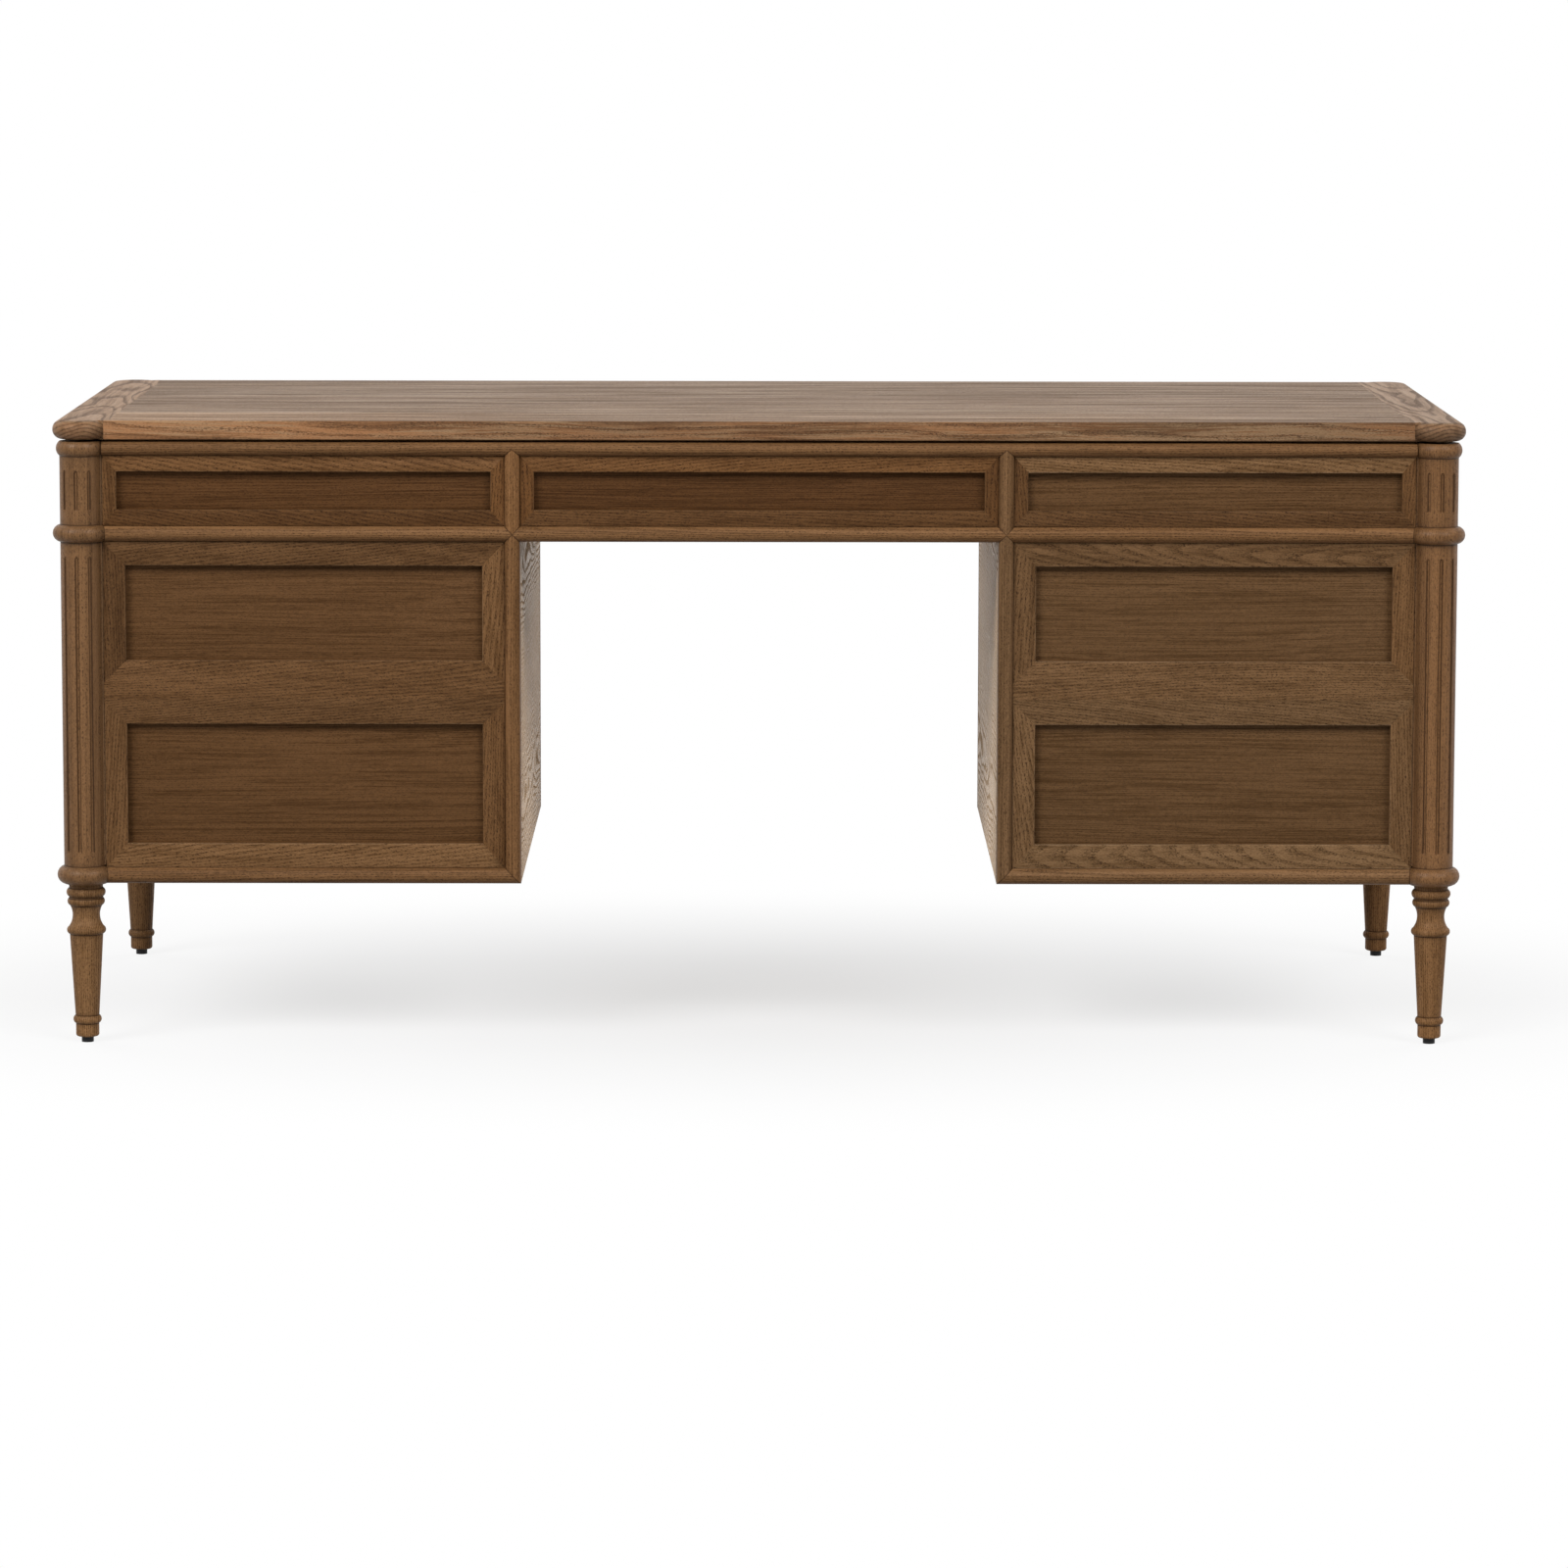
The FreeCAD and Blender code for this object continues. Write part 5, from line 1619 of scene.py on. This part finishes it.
@dataclass(frozen=True)
class Lamp:
    """A broad distant light: the way to it, how wide it is in degrees, and if gloss shows it."""

    name: str
    way: Point3
    strength: float
    spread: float
    glossy: bool
    away: float = 4.0

    def hang(self) -> None:
        """Put the lamp in the scene."""
        lamp = bpy.data.lights.new(self.name, "SUN")
        lamp.energy, lamp.angle = self.strength, math.radians(self.spread)
        holder = bpy.data.objects.new(self.name, lamp)
        holder.visible_glossy = self.glossy
        turn = Vector(self.way).to_track_quat("Z", "Y").to_matrix().to_4x4()
        holder.matrix_world = Matrix.Translation(self.away * Vector(self.way)) @ turn
        bpy.context.scene.collection.objects.link(holder)


@dataclass
class Studio:
    """A white floor, soft light from all round and the camera.

    Two broad key lights are in front, the left one stronger, and two lower ones behind. The
    camera's lens and sensor are in millimetres, and its turns in degrees.
    """

    lamps: Sequence[Lamp] = (
        Lamp("key_left", (-0.50, -0.60, 0.62), 2.3, 30, True),
        Lamp("key_right", (0.50, -0.60, 0.62), 1.7, 30, True),
        Lamp("back_left", (-0.62, 0.72, 0.30), 1.5, 40, False),
        Lamp("back_right", (0.62, 0.72, 0.30), 1.5, 40, False))
    ambient: float = 0.17
    floor_half: float = 160.0
    floor_colour: Colour = (0.65, 0.65, 0.65)
    floor_bounce: Colour = (0.4, 0.4, 0.4)
    floor_mottle: float = 0.99
    floor_stretch: Point2 = (3.0, 3.0)
    fade: Point2 = (-0.1, 1.0)
    fade_shape: Point3 = (0.62, 1.0, 0.0)
    shadow: float = 0.48
    lens: float = 148.76
    sensor: float = 36.0
    clip: Point2 = (0.1, 1000.0)
    camera_at: Point3 = (0.0035, -8.1748, 1.3370)
    pitch: float = 7.411
    yaw: float = 0.198
    roll: float = 0.110

    def floor_material(self) -> Material:
        """Build a pale floor that keeps the desk's shadow and turns plain white further off.

        For the camera the floor glows white, more so further off: painted light that lightens the
        desk's shadow.

        Returns:
            The material.
        """
        material, nodes = new_material("pale_floor")
        place = nodes.node("ShaderNodeTexCoord", out="Object")
        spot = nodes.vector("MULTIPLY", place, self.fade_shape)
        far = nodes.step(nodes.vector("LENGTH", spot, out="Value"), *self.fade)
        rays = nodes.node("ShaderNodeLightPath")
        seen = rays.out("Is Camera Ray").math("MAXIMUM", rays.out("Is Glossy Ray"))
        mottle = nodes.noise(place, self.floor_stretch, 2.0)
        colour = nodes.mix(mottle, rgba(self.floor_colour),
                           rgba(self.floor_colour, self.floor_mottle))
        matt = nodes.node("ShaderNodeBsdfDiffuse", None, {"Color": colour})
        white = nodes.node("ShaderNodeEmission", None, {"Color": WHITE, "Strength": 1.0})
        # Painted light: how far the floor glows white for the camera, which lightens the desk's
        # shadow near it and hides it further off
        painted_floor_glow = (1 - self.shadow) + self.shadow * far
        shown = nodes.node("ShaderNodeMixShader", None, {0: painted_floor_glow, 1: matt, 2: white})
        dull = nodes.node("ShaderNodeBsdfDiffuse", None, {"Color": rgba(self.floor_bounce)})
        shown = nodes.node("ShaderNodeMixShader", None, {0: seen, 1: dull, 2: shown})
        nodes.node("ShaderNodeOutputMaterial", None, {"Surface": shown})
        return material

    def floor(self) -> None:
        """Lay the floor."""
        mesh = bpy.data.meshes.new("floor")
        half = self.floor_half
        mesh.from_pydata([(-half, -half, 0), (half, -half, 0), (half, half, 0), (-half, half, 0)],
                         [], [(0, 1, 2, 3)])
        floor = bpy.data.objects.new("floor", mesh)
        bpy.context.scene.collection.objects.link(floor)
        mesh.materials.append(self.floor_material())

    def world(self) -> None:
        """Even light from all round, white where it is looked at."""
        world = bpy.data.worlds.new("white_room")
        world.use_nodes = True
        world.node_tree.nodes.clear()
        nodes = Nodes(world.node_tree)
        rays = nodes.node("ShaderNodeLightPath")
        seen = rays.out("Is Camera Ray").math("MAXIMUM", rays.out("Is Glossy Ray"))
        seen = seen.math("MAXIMUM", rays.out("Is Transmission Ray"))
        level = self.ambient + (1.0 - self.ambient) * seen
        white = nodes.node("ShaderNodeBackground", None, {"Color": WHITE, "Strength": level})
        nodes.node("ShaderNodeOutputWorld", None, {"Surface": white})
        bpy.context.scene.world = world

    def camera(self) -> None:
        """Set up the camera, at the viewing angle of the photograph."""
        pitch, yaw, roll = (math.radians(turn) for turn in (self.pitch, self.yaw, self.roll))
        ahead = Vector((math.sin(yaw) * math.cos(pitch), math.cos(yaw) * math.cos(pitch),
                        -math.sin(pitch)))
        level = ahead.cross(UP).normalized()
        over = level.cross(ahead)
        right = math.cos(roll) * level + math.sin(roll) * over
        up = math.cos(roll) * over - math.sin(roll) * level
        lens = bpy.data.cameras.new("camera")
        lens.sensor_width, lens.lens = self.sensor, self.lens
        lens.clip_start, lens.clip_end = self.clip
        camera = bpy.data.objects.new("camera", lens)
        turn = Matrix((right, up, -ahead)).transposed().to_4x4()
        camera.matrix_world = Matrix.Translation(self.camera_at) @ turn
        bpy.context.scene.collection.objects.link(camera)
        bpy.context.scene.camera = camera

    def build(self) -> None:
        """Set up the whole studio."""
        bpy.context.scene.view_settings.view_transform = "Standard"
        self.floor()
        self.world()
        for lamp in self.lamps:
            lamp.hang()
        self.camera()


CORNERS = (
    Corner("visitor_left", -1, -1, column_shade=(0.96, 0.03), leg_shade=(1.24, 0.08)),
    Corner("visitor_right", 1, -1, column_shade=(0.97, -0.02), leg_shade=(1.12, 0.03)),
    Corner("sitter_right", 1, 1),
    Corner("sitter_left", -1, 1),
)
DRAWERS = ("drawer_top_left", "drawer_top_right", "drawer_top_centre", "drawer_left_upper",
           "drawer_left_lower", "drawer_right_upper", "drawer_right_lower")


def main() -> None:
    """Build the studio and every part of the desk."""
    logging.basicConfig(level=logging.INFO, format="%(name)s: %(message)s")
    Studio().build()
    lathe = Lathe()
    for corner in CORNERS:
        corner.column(lathe)
        corner.leg(lathe)
    top = DeskTop()
    top.planked_field()
    top.end("left", -1)
    top.end("right", 1)
    case = Carcass()
    for boards in case.boards():
        boards.dress()
    case.screws(lathe)
    for name in DRAWERS:
        Drawer(name).build(lathe)


if __name__ == "__main__":
    main()
